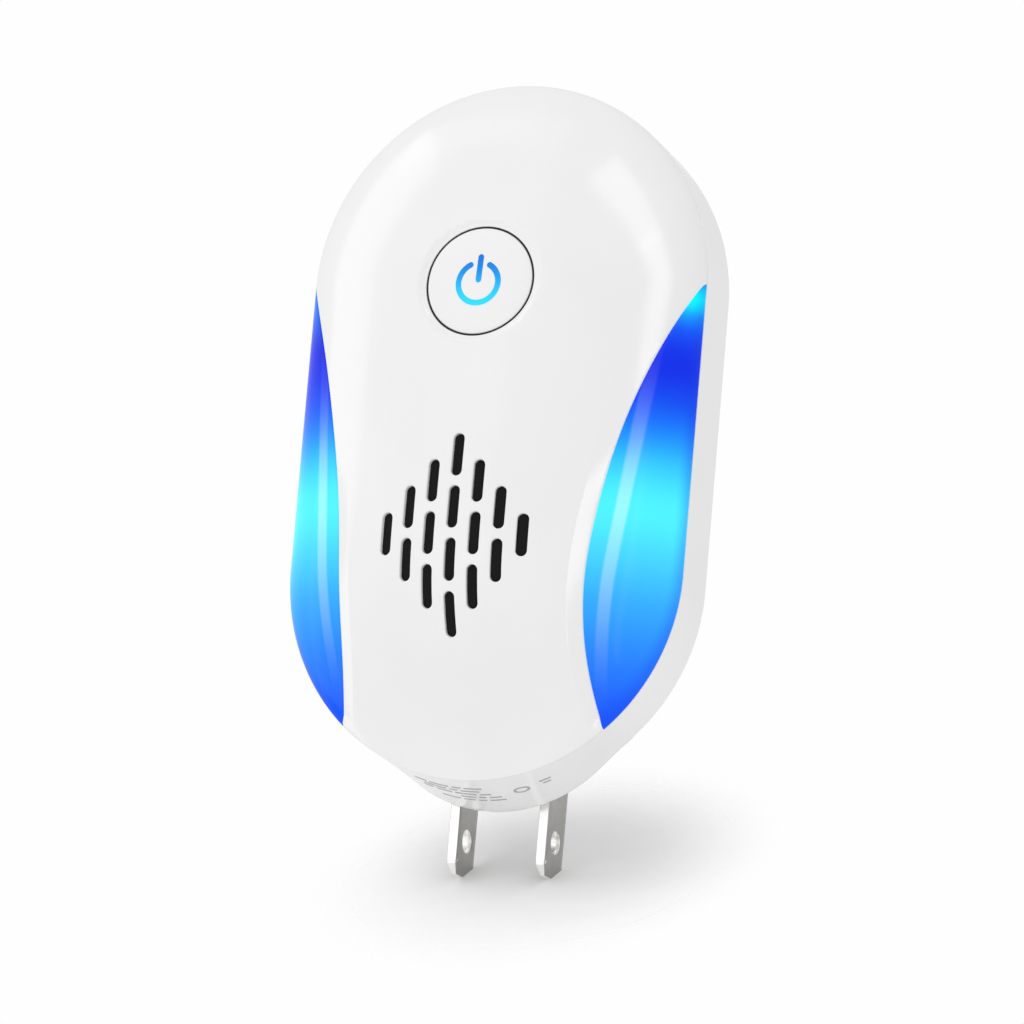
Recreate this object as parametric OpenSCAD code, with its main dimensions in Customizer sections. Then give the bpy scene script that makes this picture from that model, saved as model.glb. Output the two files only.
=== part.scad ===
// Plug-in ultrasonic pest repeller with a fold-out two-blade plug.
// Frame: origin on the face that lies against the wall, +Y into the wall,
// +Z up, front of the case towards -Y. Millimetres.

/* [Case] */
// Width of the case at the parting line
case_w = 56; // [54:0.5:60]
// Height of the case at the parting line
case_h = 94.6; // [92:0.2:98]
// Depth of the front cover at its deepest point
front_d = 13.4; // [13:0.1:15]
// Depth of the rear cover's rim
rim_d = 11.6; // [11:0.1:12.4]
// How far the raised back stands behind the rim
boss_d = 7.6; // [7.4:0.1:8]
// Wall thickness of both covers
wall = 2; // [1.8:0.1:2.2]
// Height of the front cover's deepest point
apex_z = -13.7; // [-15:0.1:-12]
// How fast the front curves back above that point, per millimetre squared
bow_up = 0.00153; // [0.001:0.0001:0.002]
// How fast the front curves back below that point, per millimetre squared
bow_down = 0.0105; // [0.009:0.0005:0.0105]
// Width of the rounded flank of the front cover
flank_w = 24.9; // [23:0.1:26]
// Squareness of that flank, 2 for an ellipse
flank_n = 1.56; // [1.5:0.02:2]

/* [Chin] */
// Radius of the chin at the back of the rim
chin_r = 19.9; // [18:0.1:21]
// Height of the chin's centre
chin_z = -29.7; // [-30.5:0.1:-29]

/* [Side lenses] */
// Closest distance of a lens edge from the middle
lens_x = 17.3; // [17:0.1:18]
// Height at which a lens is widest
lens_z = -28; // [-29:0.5:-26]
// How fast its edge sweeps out above that height, per millimetre squared
lens_up = 0.00465; // [0.004:0.0001:0.005]
// How fast its edge sweeps out below that height, per millimetre squared
lens_down = 0.0085; // [0.007:0.0005:0.01]

/* [Button] */
// Height of the button's centre
button_z = 17.9; // [16:0.1:19]
// Radius of the hole for the button
button_hole_r = 7.7; // [7.6:0.1:8]

/* [Grille] */
// Height of the top slot's centre
grille_z = -6.1; // [-7:0.1:-5]
// Distance between slot columns
slot_dx = 3.21; // [3:0.01:3.4]
// Distance between slots in a column
slot_dz = 7.03; // [6.8:0.01:7.2]
// Width of a slot
slot_w = 1.5; // [1.2:0.1:1.8]
// Length of a slot
slot_h = 5.7; // [5.2:0.1:6]

/* [Plug] */
// Distance between the blades
blade_pitch = 12.7; // [12.5:0.1:12.9]
// Width of a blade
blade_w = 6.35; // [6.2:0.05:6.4]
// Thickness of a blade
blade_t = 1.5; // [1.4:0.05:1.6]
// Radius of the hole in a blade
blade_hole_r = 1.59; // [1.5:0.01:1.7]
// Height of the blade tips when folded down
tip_z = -57.6; // [-57.8:0.1:-57.4]
// Radius of the plug carrier's barrel
barrel_r = 4.2; // [4:0.1:4.2]

/* [Hidden] */
$fn = 48;
eps = 0.01;
fit = 0.1;           // gap between parts that are fixed to each other
run = 0.3;           // gap between parts that move past each other
R = case_w / 2;
L = case_h / 2 - R;
part_y = -(boss_d + rim_d);
back_y = -boss_d;
rear_r = R - 0.75;   // the rim draws in a little towards its back

// Plug hinge
hinge_y = -4.3;
blade_out = 17.7;
hinge_z = tip_z - hinge_y + blade_out;
trunnion_r = 1.5;
running = 0.05;
bay_x = 10.3;
bay_r = barrel_r + 0.5;
trunnion_x = 14.5;
detent_l = 5.6;
boss_x = 17;
boss_top = 33;
boss_bottom = -40;
boss_corner = 7;
cap_x = 15.6;
cap_screw_x = bay_x + 1.6;
cap_screw_z = hinge_z - 2.55;

// Circuit board
board_y = -17.5;     // front face
board_t = 1.6;
board_x = 19.4;
board_top = 32.5;
board_bottom = -22.4;
board_back = board_y + board_t;
board_post = [17.2, 27.5, -17.5];
case_post = [[-10, 38], [10, 38], [-13.5, -26.3], [13.5, -26.3]];

// Loudspeaker
horn_z = grille_z - 1.5 * slot_dz;
horn_r = 13;
horn_front = -26.4;
horn_back = -21;

// Button
cap_r = 7.1;
ring_r = 7.4;
crown_slope = 2 * bow_up * (button_z - apex_z);
button_face = part_y - front_d + bow_up * pow(button_z - apex_z, 2);
collar_y = -26;
switch_y = board_y - 3.5;
plunger_y = -23;

function crown(z, top) = top - (z > apex_z ? bow_up : bow_down) * pow(z - apex_z, 2);
function rise(d, w) = pow(1 - pow(1 - min(d / w, 1), flank_n), 1 / flank_n);
function lens_edge(z) = lens_x + (z > lens_z ? lens_up : lens_down) * pow(z - lens_z, 2);

// Right half of the case outline at radius r, from the bottom to the top.
arc_n = 9;
side_n = 12;
half_n = 2 * arc_n + side_n + 1;
function half(r) = concat(
  [for (i = [0:arc_n]) let (a = -90 + 90 * i / arc_n) [r * cos(a), -L + r * sin(a)]],
  [for (i = [1:side_n - 1]) [r, -L + 2 * L * i / side_n]],
  [for (i = [0:arc_n]) let (a = 90 * i / arc_n) [r * cos(a), L + r * sin(a)]]);
function ring(r) = let (h = half(r)) concat(h,
  [for (i = [half_n - 2:-1:1]) [-h[i].x, h[i].y]]);

// Solid of the crowned front, from the parting plane forward. inset makes the
// same shape that much smaller, and sink carries it behind the parting plane.
module crowned(inset, sink) {
  rings = 8;
  n = 2 * half_n - 2;
  w = flank_w - inset;
  pts = [for (k = [0:rings]) let (d = w * pow(k / rings, 2)) for (p = ring(R - inset - d))
    [p.x, k == 0 ? sink : -crown(p.y, front_d - inset) * rise(d, w), p.y]];
  sides = [for (k = [0:rings - 1]) for (i = [0:n - 1]) let (j = (i + 1) % n)
    each [[k * n + i, (k + 1) * n + i, (k + 1) * n + j], [k * n + i, (k + 1) * n + j, k * n + j]]];
  t = rings * n;
  last = half_n - 1;
  lid = concat([[t, t + n - 1, t + 1], [t + last - 1, t + last + 1, t + last]],
    [for (i = [1:last - 2]) each [[t + i, t + n - i - 1, t + i + 1], [t + i, t + n - i, t + n - i - 1]]]);
  translate([0, part_y, 0])
    polyhedron(points = pts, faces = concat([[for (i = [0:n - 1]) i]], sides, lid));
}

module cyl_y(r, y0, y1, x = 0, z = 0) {
  translate([x, y1, z]) rotate([90, 0, 0]) cylinder(r = r, h = y1 - y0);
}

module cyl_x(r, x0, x1, y, z) {
  translate([x0, y, z]) rotate([0, 90, 0]) cylinder(r = r, h = x1 - x0);
}

module box(lo, hi) {
  translate(lo) cube(hi - lo);
}

// Flat outline in X and Z, pushed out along Y from y0 to y1.
module slab(y0, y1) {
  translate([0, y1, 0]) rotate([90, 0, 0]) linear_extrude(y1 - y0) children();
}

module rounded(x0, z0, x1, z1, r) {
  translate([x0 + r, z0]) square([x1 - x0 - 2 * r, z1 - z0]);
  translate([x0, z0 + r]) square([x1 - x0, z1 - z0 - 2 * r]);
  for (x = [x0 + r, x1 - r], z = [z0 + r, z1 - r]) translate([x, z]) circle(r = r);
}

module skin() {
  difference() {
    crowned(0, 0);
    crowned(wall, 0.5);
  }
}

// Crescent that a side lens fills, seen from the front, right-hand side.
module crescent(gap) {
  z0 = -42;
  z1 = 23;
  steps = 20;
  edge = [for (i = [0:steps]) let (z = z0 + (z1 - z0) * i / steps) [lens_edge(z) - gap, z]];
  slab(part_y - front_d - 1, part_y + 1) polygon(concat(edge, [[R + 5, z1], [R + 5, z0]]));
}

module slot_2d(w, h) {
  square([w, h - w], center = true);
  for (s = [-1, 1]) translate([0, s * (h - w) / 2]) circle(d = w);
}

// The diamond of slots: four in the middle column, one at each side.
module grille_slots() {
  for (c = [-3:3]) {
    rows = 4 - abs(c);
    for (i = [0:rows - 1])
      translate([c * slot_dx, horn_z + (rows - 1 - 2 * i) / 2 * slot_dz
        * (abs(c) == 3 ? 0 : 1)]) slot_2d(slot_w, slot_h);
  }
}

module boss_2d(inset) {
  rounded(-boss_x + inset, boss_bottom + inset, boss_x - inset, boss_top - inset,
    boss_corner - inset);
}

module stadium_2d(r) {
  for (s = [-1, 1]) translate([0, s * L]) circle(r = r);
  square([2 * r, 2 * L], center = true);
}

// Rim of the rear cover: the case outline at the parting plane, drawn to the
// smaller outline with the chin at the back.
module rim_solid(inset, y0, y1) {
  thin = 0.05;
  hull() {
    slab(y0, y0 + thin) stadium_2d(R - inset, $fn = 64);
    slab(y1 - thin, y1) {
      stadium_2d(rear_r - inset, $fn = 64);
      translate([0, chin_z]) circle(r = chin_r - inset, $fn = 64);
    }
  }
}

module front_shell() color("white") {
  difference() {
    union() {
      skin();
      intersection() {
        crowned(wall / 2, 0);
        union() {
          difference() {
            cyl_y(9.3, -40, collar_y, z = button_z);
            cyl_y(button_hole_r, -41, collar_y + 1, z = button_z);
          }
          difference() {
            cyl_y(horn_r + 1.4, -40, -24, z = horn_z);
            cyl_y(horn_r + fit, -41, -23, z = horn_z);
          }
          for (p = case_post) cyl_y(2.4, -40, part_y, p.x, p.y);
        }
      }
    }
    cyl_y(button_hole_r, -40, -20, z = button_z);
    slab(-40, -25) grille_slots();
    for (m = [0, 1]) mirror([m, 0, 0]) crescent(fit);
    for (p = case_post) cyl_y(0.9, part_y - 2.4, part_y + 1, p.x, p.y);
  }
}

module lens() color([0.1, 0.5, 1, 0.8]) {
  intersection() {
    skin();
    crescent(0);
  }
}

module rear_shell() color("white") {
  difference() {
    union() {
      difference() {
        union() {
          rim_solid(0, part_y, back_y);
          slab(back_y - eps, 0) boss_2d(0);
        }
        rim_solid(wall, part_y - eps, back_y - wall);
        difference() {
          slab(back_y - wall - eps, -wall) boss_2d(wall);
          box([-boss_x, -30, boss_bottom], [boss_x, 0, hinge_z + bay_r + wall]);
        }
      }
      cyl_x(bay_r + 1.4, -bay_x - 1.4, bay_x + 1.4, hinge_y, hinge_z);
      for (x = [-1, 1], z = [board_post[1], board_post[2]])
        cyl_y(2.1, board_back, back_y - eps, x * board_post[0], z);
      for (p = case_post) cyl_y(2.4, part_y, (abs(p.x) < 12 ? back_y : 0) - wall / 2, p.x, p.y);
    }
    cyl_x(bay_r, -bay_x, bay_x, hinge_y, hinge_z);
    box([-bay_x, hinge_y, boss_bottom - 1], [bay_x, 1, hinge_z + bay_r]);
    box([-bay_x, back_y, boss_bottom - 10], [bay_x, 1, hinge_z]);
    box([-boss_x - 1, 0, -60], [boss_x + 1, 5, 20]);
    cyl_x(trunnion_r + running, -trunnion_x - 0.2, trunnion_x + 0.2, hinge_y, hinge_z);
    for (m = [0, 1]) mirror([m, 0, 0]) hinge_cap_block(0);
    for (x = [-1, 1]) {
      box([x * blade_pitch / 2 - 2, -20, hinge_z - 3.4], [x * blade_pitch / 2 + 2, hinge_y, hinge_z + 3]);
      cyl_y(0.8, -9.5, hinge_y, x * cap_screw_x, cap_screw_z);
      for (z = [board_post[1], board_post[2]])
        cyl_y(0.8, board_back - 1, board_back + 5, x * board_post[0], z);
    }
    for (p = case_post) {
      cyl_y(1.15, part_y - 1, 1, p.x, p.y);
      cyl_y(2, (abs(p.x) < 12 ? back_y : 0) - 4, 1, p.x, p.y);
    }
    box([-2.2, hinge_y - detent_l, hinge_z + 3], [2.2, hinge_y - 0.7, hinge_z + 7.2]);
  }
}

// Space of the cap that closes one bearing of the plug, right-hand side.
module hinge_cap_block(gap) {
  box([bay_x - 1, hinge_y + gap, boss_bottom - 1], [cap_x - gap, 1, hinge_z + 2.4 - gap]);
}

module hinge_cap() color("white") {
  difference() {
    intersection() {
      slab(back_y, 0) boss_2d(0);
      hinge_cap_block(fit);
      box([bay_x, -20, -60], [boss_x, 0, 0]);
    }
    cyl_x(trunnion_r + running, bay_x - 1, trunnion_x + 0.2, hinge_y, hinge_z);
    cyl_y(0.9, hinge_y - 1, 1, cap_screw_x, cap_screw_z);
    cyl_y(1.3, -1.2, 1, cap_screw_x, cap_screw_z);
  }
}

module cap_screws() color("silver") {
  for (x = [-1, 1]) {
    cyl_y(0.75, -9, -1.2 + eps, x * cap_screw_x, cap_screw_z);
    cyl_y(1.2, -1.2, -0.3, x * cap_screw_x, cap_screw_z);
  }
}

module case_screws() color("silver") {
  for (p = case_post) {
    seat = (abs(p.x) < 12 ? back_y : 0) - 4;
    cyl_y(0.85, part_y - 2.2, seat + eps, p.x, p.y);
    difference() {
      cyl_y(1.9, seat, seat + 1.3, p.x, p.y);
      for (a = [0, 90]) translate([p.x, seat + 1.3, p.y]) rotate([0, a, 0])
        cube([2.2, 1.4, 0.5], center = true);
    }
  }
}

module board_screws() color("silver") {
  for (x = [-1, 1], z = [board_post[1], board_post[2]]) {
    cyl_y(0.75, board_y - eps, board_back + 4.5, x * board_post[0], z);
    cyl_y(1.8, board_y - 1.2, board_y, x * board_post[0], z);
  }
}

module grille_cloth() color("black") {
  cyl_y(12.6, horn_front - 0.6, horn_front - 0.2, z = horn_z);
}

module button_cap() color("white") {
  cap_back = collar_y + run;
  difference() {
    union() {
      cyl_y(cap_r, -34, cap_back + eps, z = button_z);
      cyl_y(8.6, cap_back, cap_back + 0.8, z = button_z);
    }
    // The face leans back with the cover's front.
    translate([0, button_face, button_z]) rotate([-atan(crown_slope), 0, 0])
      translate([-20, -20, -20]) cube([40, 20, 40]);
    cyl_y(6.1, button_face + 2.4, 0, z = button_z);
    icon_space();
  }
  difference() {
    cyl_y(2, button_face + 1, plunger_y - run, z = button_z - 0.2);
    icon_space();
  }
}

module button_ring() color("black") {
  difference() {
    cyl_y(ring_r, -34, collar_y, z = button_z);
    cyl_y(cap_r, -35, collar_y + 1, z = button_z);
    translate([0, button_face + 0.35, button_z]) rotate([-atan(crown_slope), 0, 0])
      translate([-20, -20, -20]) cube([40, 20, 40]);
  }
}

// Generic on and off mark: an open ring with a bar.
module icon_2d() {
  icon_r = 3.05;
  stroke = 0.75;
  difference() {
    circle(r = icon_r);
    circle(r = icon_r - stroke);
    polygon([[0, 0], [-3.2, 5], [3.2, 5]]);
  }
  translate([-stroke / 2, 0.3]) square([stroke, 3.4]);
}

module icon_space() {
  slab(-34, button_face + 1.2) translate([0, button_z - 0.3]) icon_2d();
}

module power_icon() color("deepskyblue") {
  difference() {
    icon_space();
    translate([0, button_face, button_z]) rotate([-atan(crown_slope), 0, 0])
      translate([-20, -20, -20]) cube([40, 20, 40]);
  }
}

module speaker_frame() color("dimgray") {
  difference() {
    cyl_y(horn_r, horn_front, horn_back, z = horn_z);
    cyl_y(horn_r - 1.5, horn_front - 1, horn_front + 3, z = horn_z);
    cyl_y(9.5, horn_front, horn_back - 2, z = horn_z);
    cyl_y(11.2, horn_back - 2.4, horn_back + 1, z = horn_z);
  }
}

module piezo_disc() color("goldenrod") {
  cyl_y(11.1, horn_back - 2.4, horn_back - 2.1, z = horn_z);
  cyl_y(8, horn_back - 2.1 - eps, horn_back - 1.8, z = horn_z);
}

module speaker_cover() color("dimgray") {
  difference() {
    cyl_y(11.1, horn_back - 1.4, horn_back, z = horn_z);
    for (x = [-1, 1]) cyl_y(0.7, horn_back - 2, horn_back + 1, x * 3, horn_z);
  }
}

// Tube of radius r swept along points, for an insulated wire.
module wire(path, r) {
  n = len(path);
  sides = 8;
  dir = [for (i = [0:n - 1]) let (a = path[max(i - 1, 0)], b = path[min(i + 1, n - 1)])
    (b - a) / norm(b - a)];
  pts = [for (i = [0:n - 1]) let (u = cross(dir[i], [1, 0.2, 0]), v = cross(dir[i], u))
    for (s = [0:sides - 1]) path[i] + r * (cos(360 * s / sides) * u / norm(u)
      + sin(360 * s / sides) * v / norm(v))];
  walls = [for (i = [0:n - 2], s = [0:sides - 1]) let (t = (s + 1) % sides)
    each [[i * sides + s, i * sides + t, (i + 1) * sides + t],
      [i * sides + s, (i + 1) * sides + t, (i + 1) * sides + s]]];
  polyhedron(points = pts, faces = concat([[for (s = [sides - 1:-1:0]) s]], walls,
    [[for (s = [0:sides - 1]) (n - 1) * sides + s]]));
}

module speaker_wires() color("black") {
  for (x = [-1, 1])
    wire([[3 * x, -22.4, horn_z], [3 * x, -20.6, horn_z], [3.4 * x, -19.6, horn_z + 1.5],
      [4 * x, -19.2, horn_z + 4], [4 * x, -18.8, horn_z + 5.4], [4 * x, -18.2, horn_z + 6],
      [4 * x, -17.6, horn_z + 6]], 0.5);
}

mains_path = [[6.3, -12.52, -28], [6.3, -12.52, -26.4], [6, -12.8, -24.6], [5.5, -13, -22.6],
  [5, -13.4, -20.8], [5, -14.2, -19.6], [5, -15.2, -19.2], [5, -15.8, -19.2]];

module mains_wire(s) color(s > 0 ? "red" : "black") {
  wire([for (p = mains_path) [s * p.x, p.y, p.z]], 0.7);
}

module circuit_board() color("darkgreen") {
  difference() {
    slab(board_y, board_back) rounded(-board_x, board_bottom, board_x, board_top, 3);
    for (x = [-1, 1], z = [board_post[1], board_post[2]])
      cyl_y(0.9, board_y - 1, board_back + 1, x * board_post[0], z);
  }
}

module switch_body() color("black") {
  difference() {
    box([-3, switch_y, button_z - 3], [3, board_y - eps, button_z + 3]);
    cyl_y(1.8, switch_y - 1, switch_y + 1.8, z = button_z);
  }
}

module switch_plunger() color("ivory") {
  cyl_y(1.7, plunger_y, switch_y + 1, z = button_z);
}

module button_light() color("white") {
  box([4, board_y - 1.1, button_z - 0.8], [7, board_y - eps, button_z + 0.8]);
}

light_z = [12, 0, -12];

module side_lights(s) color("lightyellow") {
  for (z = light_z) {
    x = s * 17.4;
    box([x - 1.4, board_y - 1.9, z - 1.75], [x + 1.4, board_y - eps, z + 1.75]);
  }
}

module light_guide() color([1, 1, 1, 0.6]) {
  slab(-21.6, board_y - 0.3) rounded(19.9, -24, 22.4, 14, 1.2);
}

module controller_chip() color("black") {
  box([6, board_y - 1.6, -1], [10, board_y - eps, 4]);
  for (s = [-1, 1], i = [0:3])
    box([8 + s * 2.5 - 0.5, board_y - 0.5, -0.6 + i * 1.27], [8 + s * 2.5 + 0.5, board_y - eps, -0.2 + i * 1.27]);
}

module transformer_core() color("dimgray") {
  difference() {
    box([-8, -14.6, 13], [8, -2.6, 18]);
    for (s = [-1, 1]) box([s * 4 - 2, -12.6, 12], [s * 4 + 2, -4.6, 19]);
  }
}

module transformer_coil() color("gold") {
  difference() {
    slab(-12.4, -4.8) rounded(-5.9, 8.6, 5.9, 22.4, 2);
    box([-2, -15, 13], [2, 0, 18]);
    for (s = [-1, 1]) box([s * 7.9 - 2, -15, 12.9], [s * 7.9 + 2, 0, 18.1]);
  }
  for (x = [-1, 1], z = [9.4, 21.6]) cyl_y(0.4, board_back, -12.3, x * 4, z);
}

module film_capacitor() color("gold") {
  box([-13, board_back + 0.6, -6], [-7.6, -4.4, 7]);
  for (z = [-4.5, 5.5]) cyl_y(0.35, board_back, board_back + 0.7, -10.3, z);
}

module smoothing_capacitor() color("navy") {
  cyl_y(4, board_back + 0.6, -4, 2.6, -1);
  for (x = [-1.25, 1.25]) cyl_y(0.3, board_back, board_back + 0.7, 2.6 + x, -1);
}

module bridge_rectifier() color("black") {
  box([-6, board_back + eps, -15.4], [0.5, board_back + 2.6, -10.6]);
}

module fuse() color("tan") {
  translate([10.8, board_back + 3, -13]) cylinder(r = 1.9, h = 9);
  for (z = [-12.6, -4.4]) cyl_y(0.35, board_back, board_back + 2, 10.8, z);
}

// Leaf that a blade's tail presses when the plug is swung out.
module contact(x) color("goldenrod") {
  t = 0.4;
  tip_y = hinge_y - barrel_r - run;
  translate([x - 1.5, 0, 0]) rotate([90, 0, 90]) linear_extrude(3)
    polygon([[tip_y, hinge_z - 2], [tip_y, hinge_z + 1.6], [tip_y - 2.6, hinge_z + 4.4],
      [tip_y - 2.6, -26], [tip_y - 2.6 - t, -26], [tip_y - 2.6 - t, hinge_z + 4.2],
      [tip_y - t, hinge_z + 1.4], [tip_y - t, hinge_z - 2]]);
}

module blade_2d() {
  front = hinge_y - 3;
  back = front + blade_w;
  chamfer = 1.3;
  polygon([[front, hinge_z - 2.6], [front, tip_z + chamfer], [front + chamfer, tip_z],
    [back - chamfer, tip_z], [back, tip_z + chamfer], [back, hinge_z - 2.6]]);
  translate([hinge_y - 1.5, hinge_z - 2.7]) square([3, 2.7 + barrel_r - 0.3]);
}

module blade_space(x) {
  translate([x - blade_t / 2, 0, 0]) rotate([90, 0, 90]) linear_extrude(blade_t) blade_2d();
}

module blade(x) color("silver") {
  difference() {
    blade_space(x);
    cyl_x(blade_hole_r, x - 5, x + 5, hinge_y - 3 + blade_w / 2, tip_z + 4.8);
  }
}

module plug_carrier() color("white") {
  difference() {
    union() {
      cyl_x(barrel_r, -bay_x + run, bay_x - run, hinge_y, hinge_z);
      cyl_x(trunnion_r, -trunnion_x, trunnion_x, hinge_y, hinge_z);
    }
    for (x = [-1, 1]) blade_space(x * blade_pitch / 2);
    for (a = [0, 90]) translate([0, hinge_y, hinge_z]) rotate([a, 0, 0])
      translate([0, 0, barrel_r + 0.4]) rotate([0, 90, 0]) cylinder(r = 1.1, h = 3.6, center = true);
  }
}

// Bent leaf over the barrel; its nose drops into a notch at each end of the swing.
module detent_spring() color("silver") {
  top = hinge_z + barrel_r + run + 0.1;
  translate([-1.5, 0, 0]) rotate([90, 0, 90]) linear_extrude(3)
    polygon([[hinge_y - 1, top], [hinge_y - detent_l, top + 1.9], [hinge_y - detent_l, top + 2.3],
      [hinge_y - 1, top + 0.4]]);
}

front_shell();
rear_shell();
mirror([1, 0, 0]) lens();  // lens_left
lens();  // lens_right
grille_cloth();
button_cap();
button_ring();
power_icon();
speaker_frame();
piezo_disc();
speaker_cover();
speaker_wires();
circuit_board();
switch_body();
switch_plunger();
button_light();
side_lights(-1);  // side_lights_left
side_lights(1);  // side_lights_right
mirror([1, 0, 0]) light_guide();  // light_guide_left
light_guide();  // light_guide_right
controller_chip();
transformer_core();
transformer_coil();
film_capacitor();
smoothing_capacitor();
bridge_rectifier();
fuse();
contact(-blade_pitch / 2);  // contact_left
contact(blade_pitch / 2);  // contact_right
mains_wire(-1);  // mains_wire_left
mains_wire(1);  // mains_wire_right
plug_carrier();
blade(-blade_pitch / 2);  // blade_left
blade(blade_pitch / 2);  // blade_right
mirror([1, 0, 0]) hinge_cap();  // hinge_cap_left
hinge_cap();  // hinge_cap_right
detent_spring();
case_screws();
board_screws();
cap_screws();
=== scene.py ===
"""Looks of a plug-in ultrasonic pest repeller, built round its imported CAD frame.

Lengths inside the shape functions are millimetres in the CAD's own frame: origin on the wall
face, +Y into the wall, +Z up, front towards -Y. Meshes are scaled to metres when made.
"""
import math

import bmesh
import bpy
import numpy as np
from mathutils import Matrix, Vector
from mathutils.geometry import delaunay_2d_cdt


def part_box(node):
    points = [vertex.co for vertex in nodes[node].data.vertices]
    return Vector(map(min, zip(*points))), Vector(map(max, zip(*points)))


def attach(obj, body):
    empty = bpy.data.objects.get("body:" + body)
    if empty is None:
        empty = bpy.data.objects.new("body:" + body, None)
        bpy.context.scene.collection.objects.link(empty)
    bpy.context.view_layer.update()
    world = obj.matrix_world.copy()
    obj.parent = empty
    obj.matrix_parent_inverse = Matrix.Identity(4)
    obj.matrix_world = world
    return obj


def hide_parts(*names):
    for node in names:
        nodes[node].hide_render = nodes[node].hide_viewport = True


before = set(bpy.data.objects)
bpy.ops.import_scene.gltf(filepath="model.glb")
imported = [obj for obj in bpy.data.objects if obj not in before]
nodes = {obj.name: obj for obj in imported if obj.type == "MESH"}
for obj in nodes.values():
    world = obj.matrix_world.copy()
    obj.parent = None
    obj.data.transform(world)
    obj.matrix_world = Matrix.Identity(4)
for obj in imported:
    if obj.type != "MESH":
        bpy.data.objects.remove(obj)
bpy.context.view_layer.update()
MM = 0.001


# ---------------------------------------------------------------- sizes from the frame

def corners(node):
    """Lowest and highest corner of a CAD node, in millimetres."""
    lo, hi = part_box(node)
    return np.array(lo) / MM, np.array(hi) / MM


front_lo, front_hi = corners("front_shell")
blade_lo, blade_hi = corners("blade_right")
carrier_lo, carrier_hi = corners("plug_carrier")

R = corners("rear_shell")[1][0]  # half the case's width, and the radius of its ends
L = front_hi[2] - R              # half the straight side
PART_Y = front_hi[1]             # plane where the covers meet
FRONT_D = PART_Y - front_lo[1]   # depth of the front cover
WALL = 1.8                       # thickness of both covers and the lenses

# Steps of the case outline: along a quarter turn, and along the straight side.
ARC, SIDE = 90, 70

# Crowned front: height along the middle, and the soft flank down to the parting line.
APEX_Z = -13.7
BOW_UP, BOW_DOWN, BOW_POWER = 0.00153, 11.85, 2.4
CHIN_FALL = 33.6                # the front has dropped back by BOW_DOWN this far below its apex
FLANK_N = 1.54
RIDGE_SOFT = 0.15               # rounds the flank over where both sides meet in the middle

# Side lens: inner edge in front view, two parabolas that meet where it is nearest the middle.
LENS_X, LENS_Z = 17.3, -28.0
LENS_UP, LENS_DOWN = 0.00465, 0.0085
LENS_GAP = 0.06                 # from lens to cover
LENS_SUNK = 0.05                # below the cover's face
LENS_BLEND = 5                  # width over which a lens follows the cover's bevel
BEVEL_W, BEVEL_D = 1.9, 0.5     # bevel of the cover beside a lens
BEVEL_TOP, BEVEL_FADE = 2, 16   # where the bevel starts, and how far down it is at full depth

# Button: radii of the key, its seal and the hole, and the shallow dish round it.
BUTTON_Z = 17.9
CAP_R, SEAL_R, HOLE_R = 7.38, 7.62, 7.64
DISH_W, DISH_D = 1.3, 0.6

# Slots: size, spacing across and down, and the middle of their diamond.
SLOT_W, SLOT_H = 1.5, 5.7
SLOT_DX, SLOT_DZ = 3.21, 7.03
GRILLE_Z = -16.645

# Rounded edges of the front cover; all of them fade out this close to its outline.
EDGE_SLOT, EDGE_HOLE, EDGE_LENS = 0.22, 0.14, 0.18
OUTLINE_FADE = 1.5
FILLET_STEPS = (0.04, 0.15, 0.32, 0.55, 0.8, 1.0)

# Points of the front: rings this far in from the outline, then a grid of this step.
FLANK_ZONE, FRONT_GRID = 3.8, 0.75

# Rear cover: rim, groove at the parting line, and the chin that hangs below.
RIM_D, RIM_EDGE = 11.6, 1.3
NOTCH_W, NOTCH_D = 0.24, 0.4
BACK_Y = PART_Y + RIM_D
REAR_R = R - 0.75
CHIN_R, CHIN_Z = 19.9, -29.7

# Raised back against the wall: its outline, rounded edge, rounded foot and draft.
BOSS_X, BOSS_TOP, BOSS_BOTTOM, BOSS_CORNER = 17.0, 33.0, -40.0, 7.0
BOSS_EDGE, BOSS_FOOT, DRAFT = 0.8, 0.6, 0.25

# Plug bay with a hinge cap at each side, and the case screws.
HINGE_Y = (carrier_lo[1] + carrier_hi[1]) / 2
HINGE_Z = (carrier_lo[2] + carrier_hi[2]) / 2
BAY_X, BAY_R = 10.3, 4.7
CAP_X, CAP_TOP = 15.6, 2.4      # hinge cap: outer side, and height above the hinge
SCREWS = [(-10, 38), (10, 38), (-13.5, -26.3), (13.5, -26.3)]
SCREW_R, SCREW_DEPTH, SCREW_EDGE = 2.0, 4.0, 0.25
POST_R = 3.6

# Key and seal: rounding of the key, their back, how far the seal lies below and off the key.
KEY_EDGE, KEY_BACK, SEAL_DROP, SEAL_GAP = 0.24, -26.1, 0.16, 0.01

# Standby mark: ring, half its gap in degrees, top of the bar, place below the button's middle.
ICON_R, ICON_LINE, ICON_GAP = 2.8, 0.8, 29.0
ICON_BAR_TOP, ICON_DROP = 3.95, 0.3
ICON_PROUD, ICON_BACK = 0.02, -30.0

# Plug blade: edges, thinned and cut tip, hole, and the tail inside the carrier.
BLADE_EDGE, TIP_BEVEL, TIP_DROP, TIP_CUT = 0.16, 1.7, 0.42, 1.3
BLADE_HOLE_R, BLADE_HOLE_UP = 1.59, 4.8
SHOULDER, TAIL_HALF = 2.6, 1.5

# Cloth: radius, depth of its raised parts in the slots, and the inset of their foot and top.
CLOTH_R, CLOTH_DEPTH = 13.6, 0.5
CLOTH_STEP = (0.04, 0.1)
CLOTH_GAP, CLOTH_BACK = 0.1, 0.5  # its face and its back, below the cover's inner face

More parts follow.
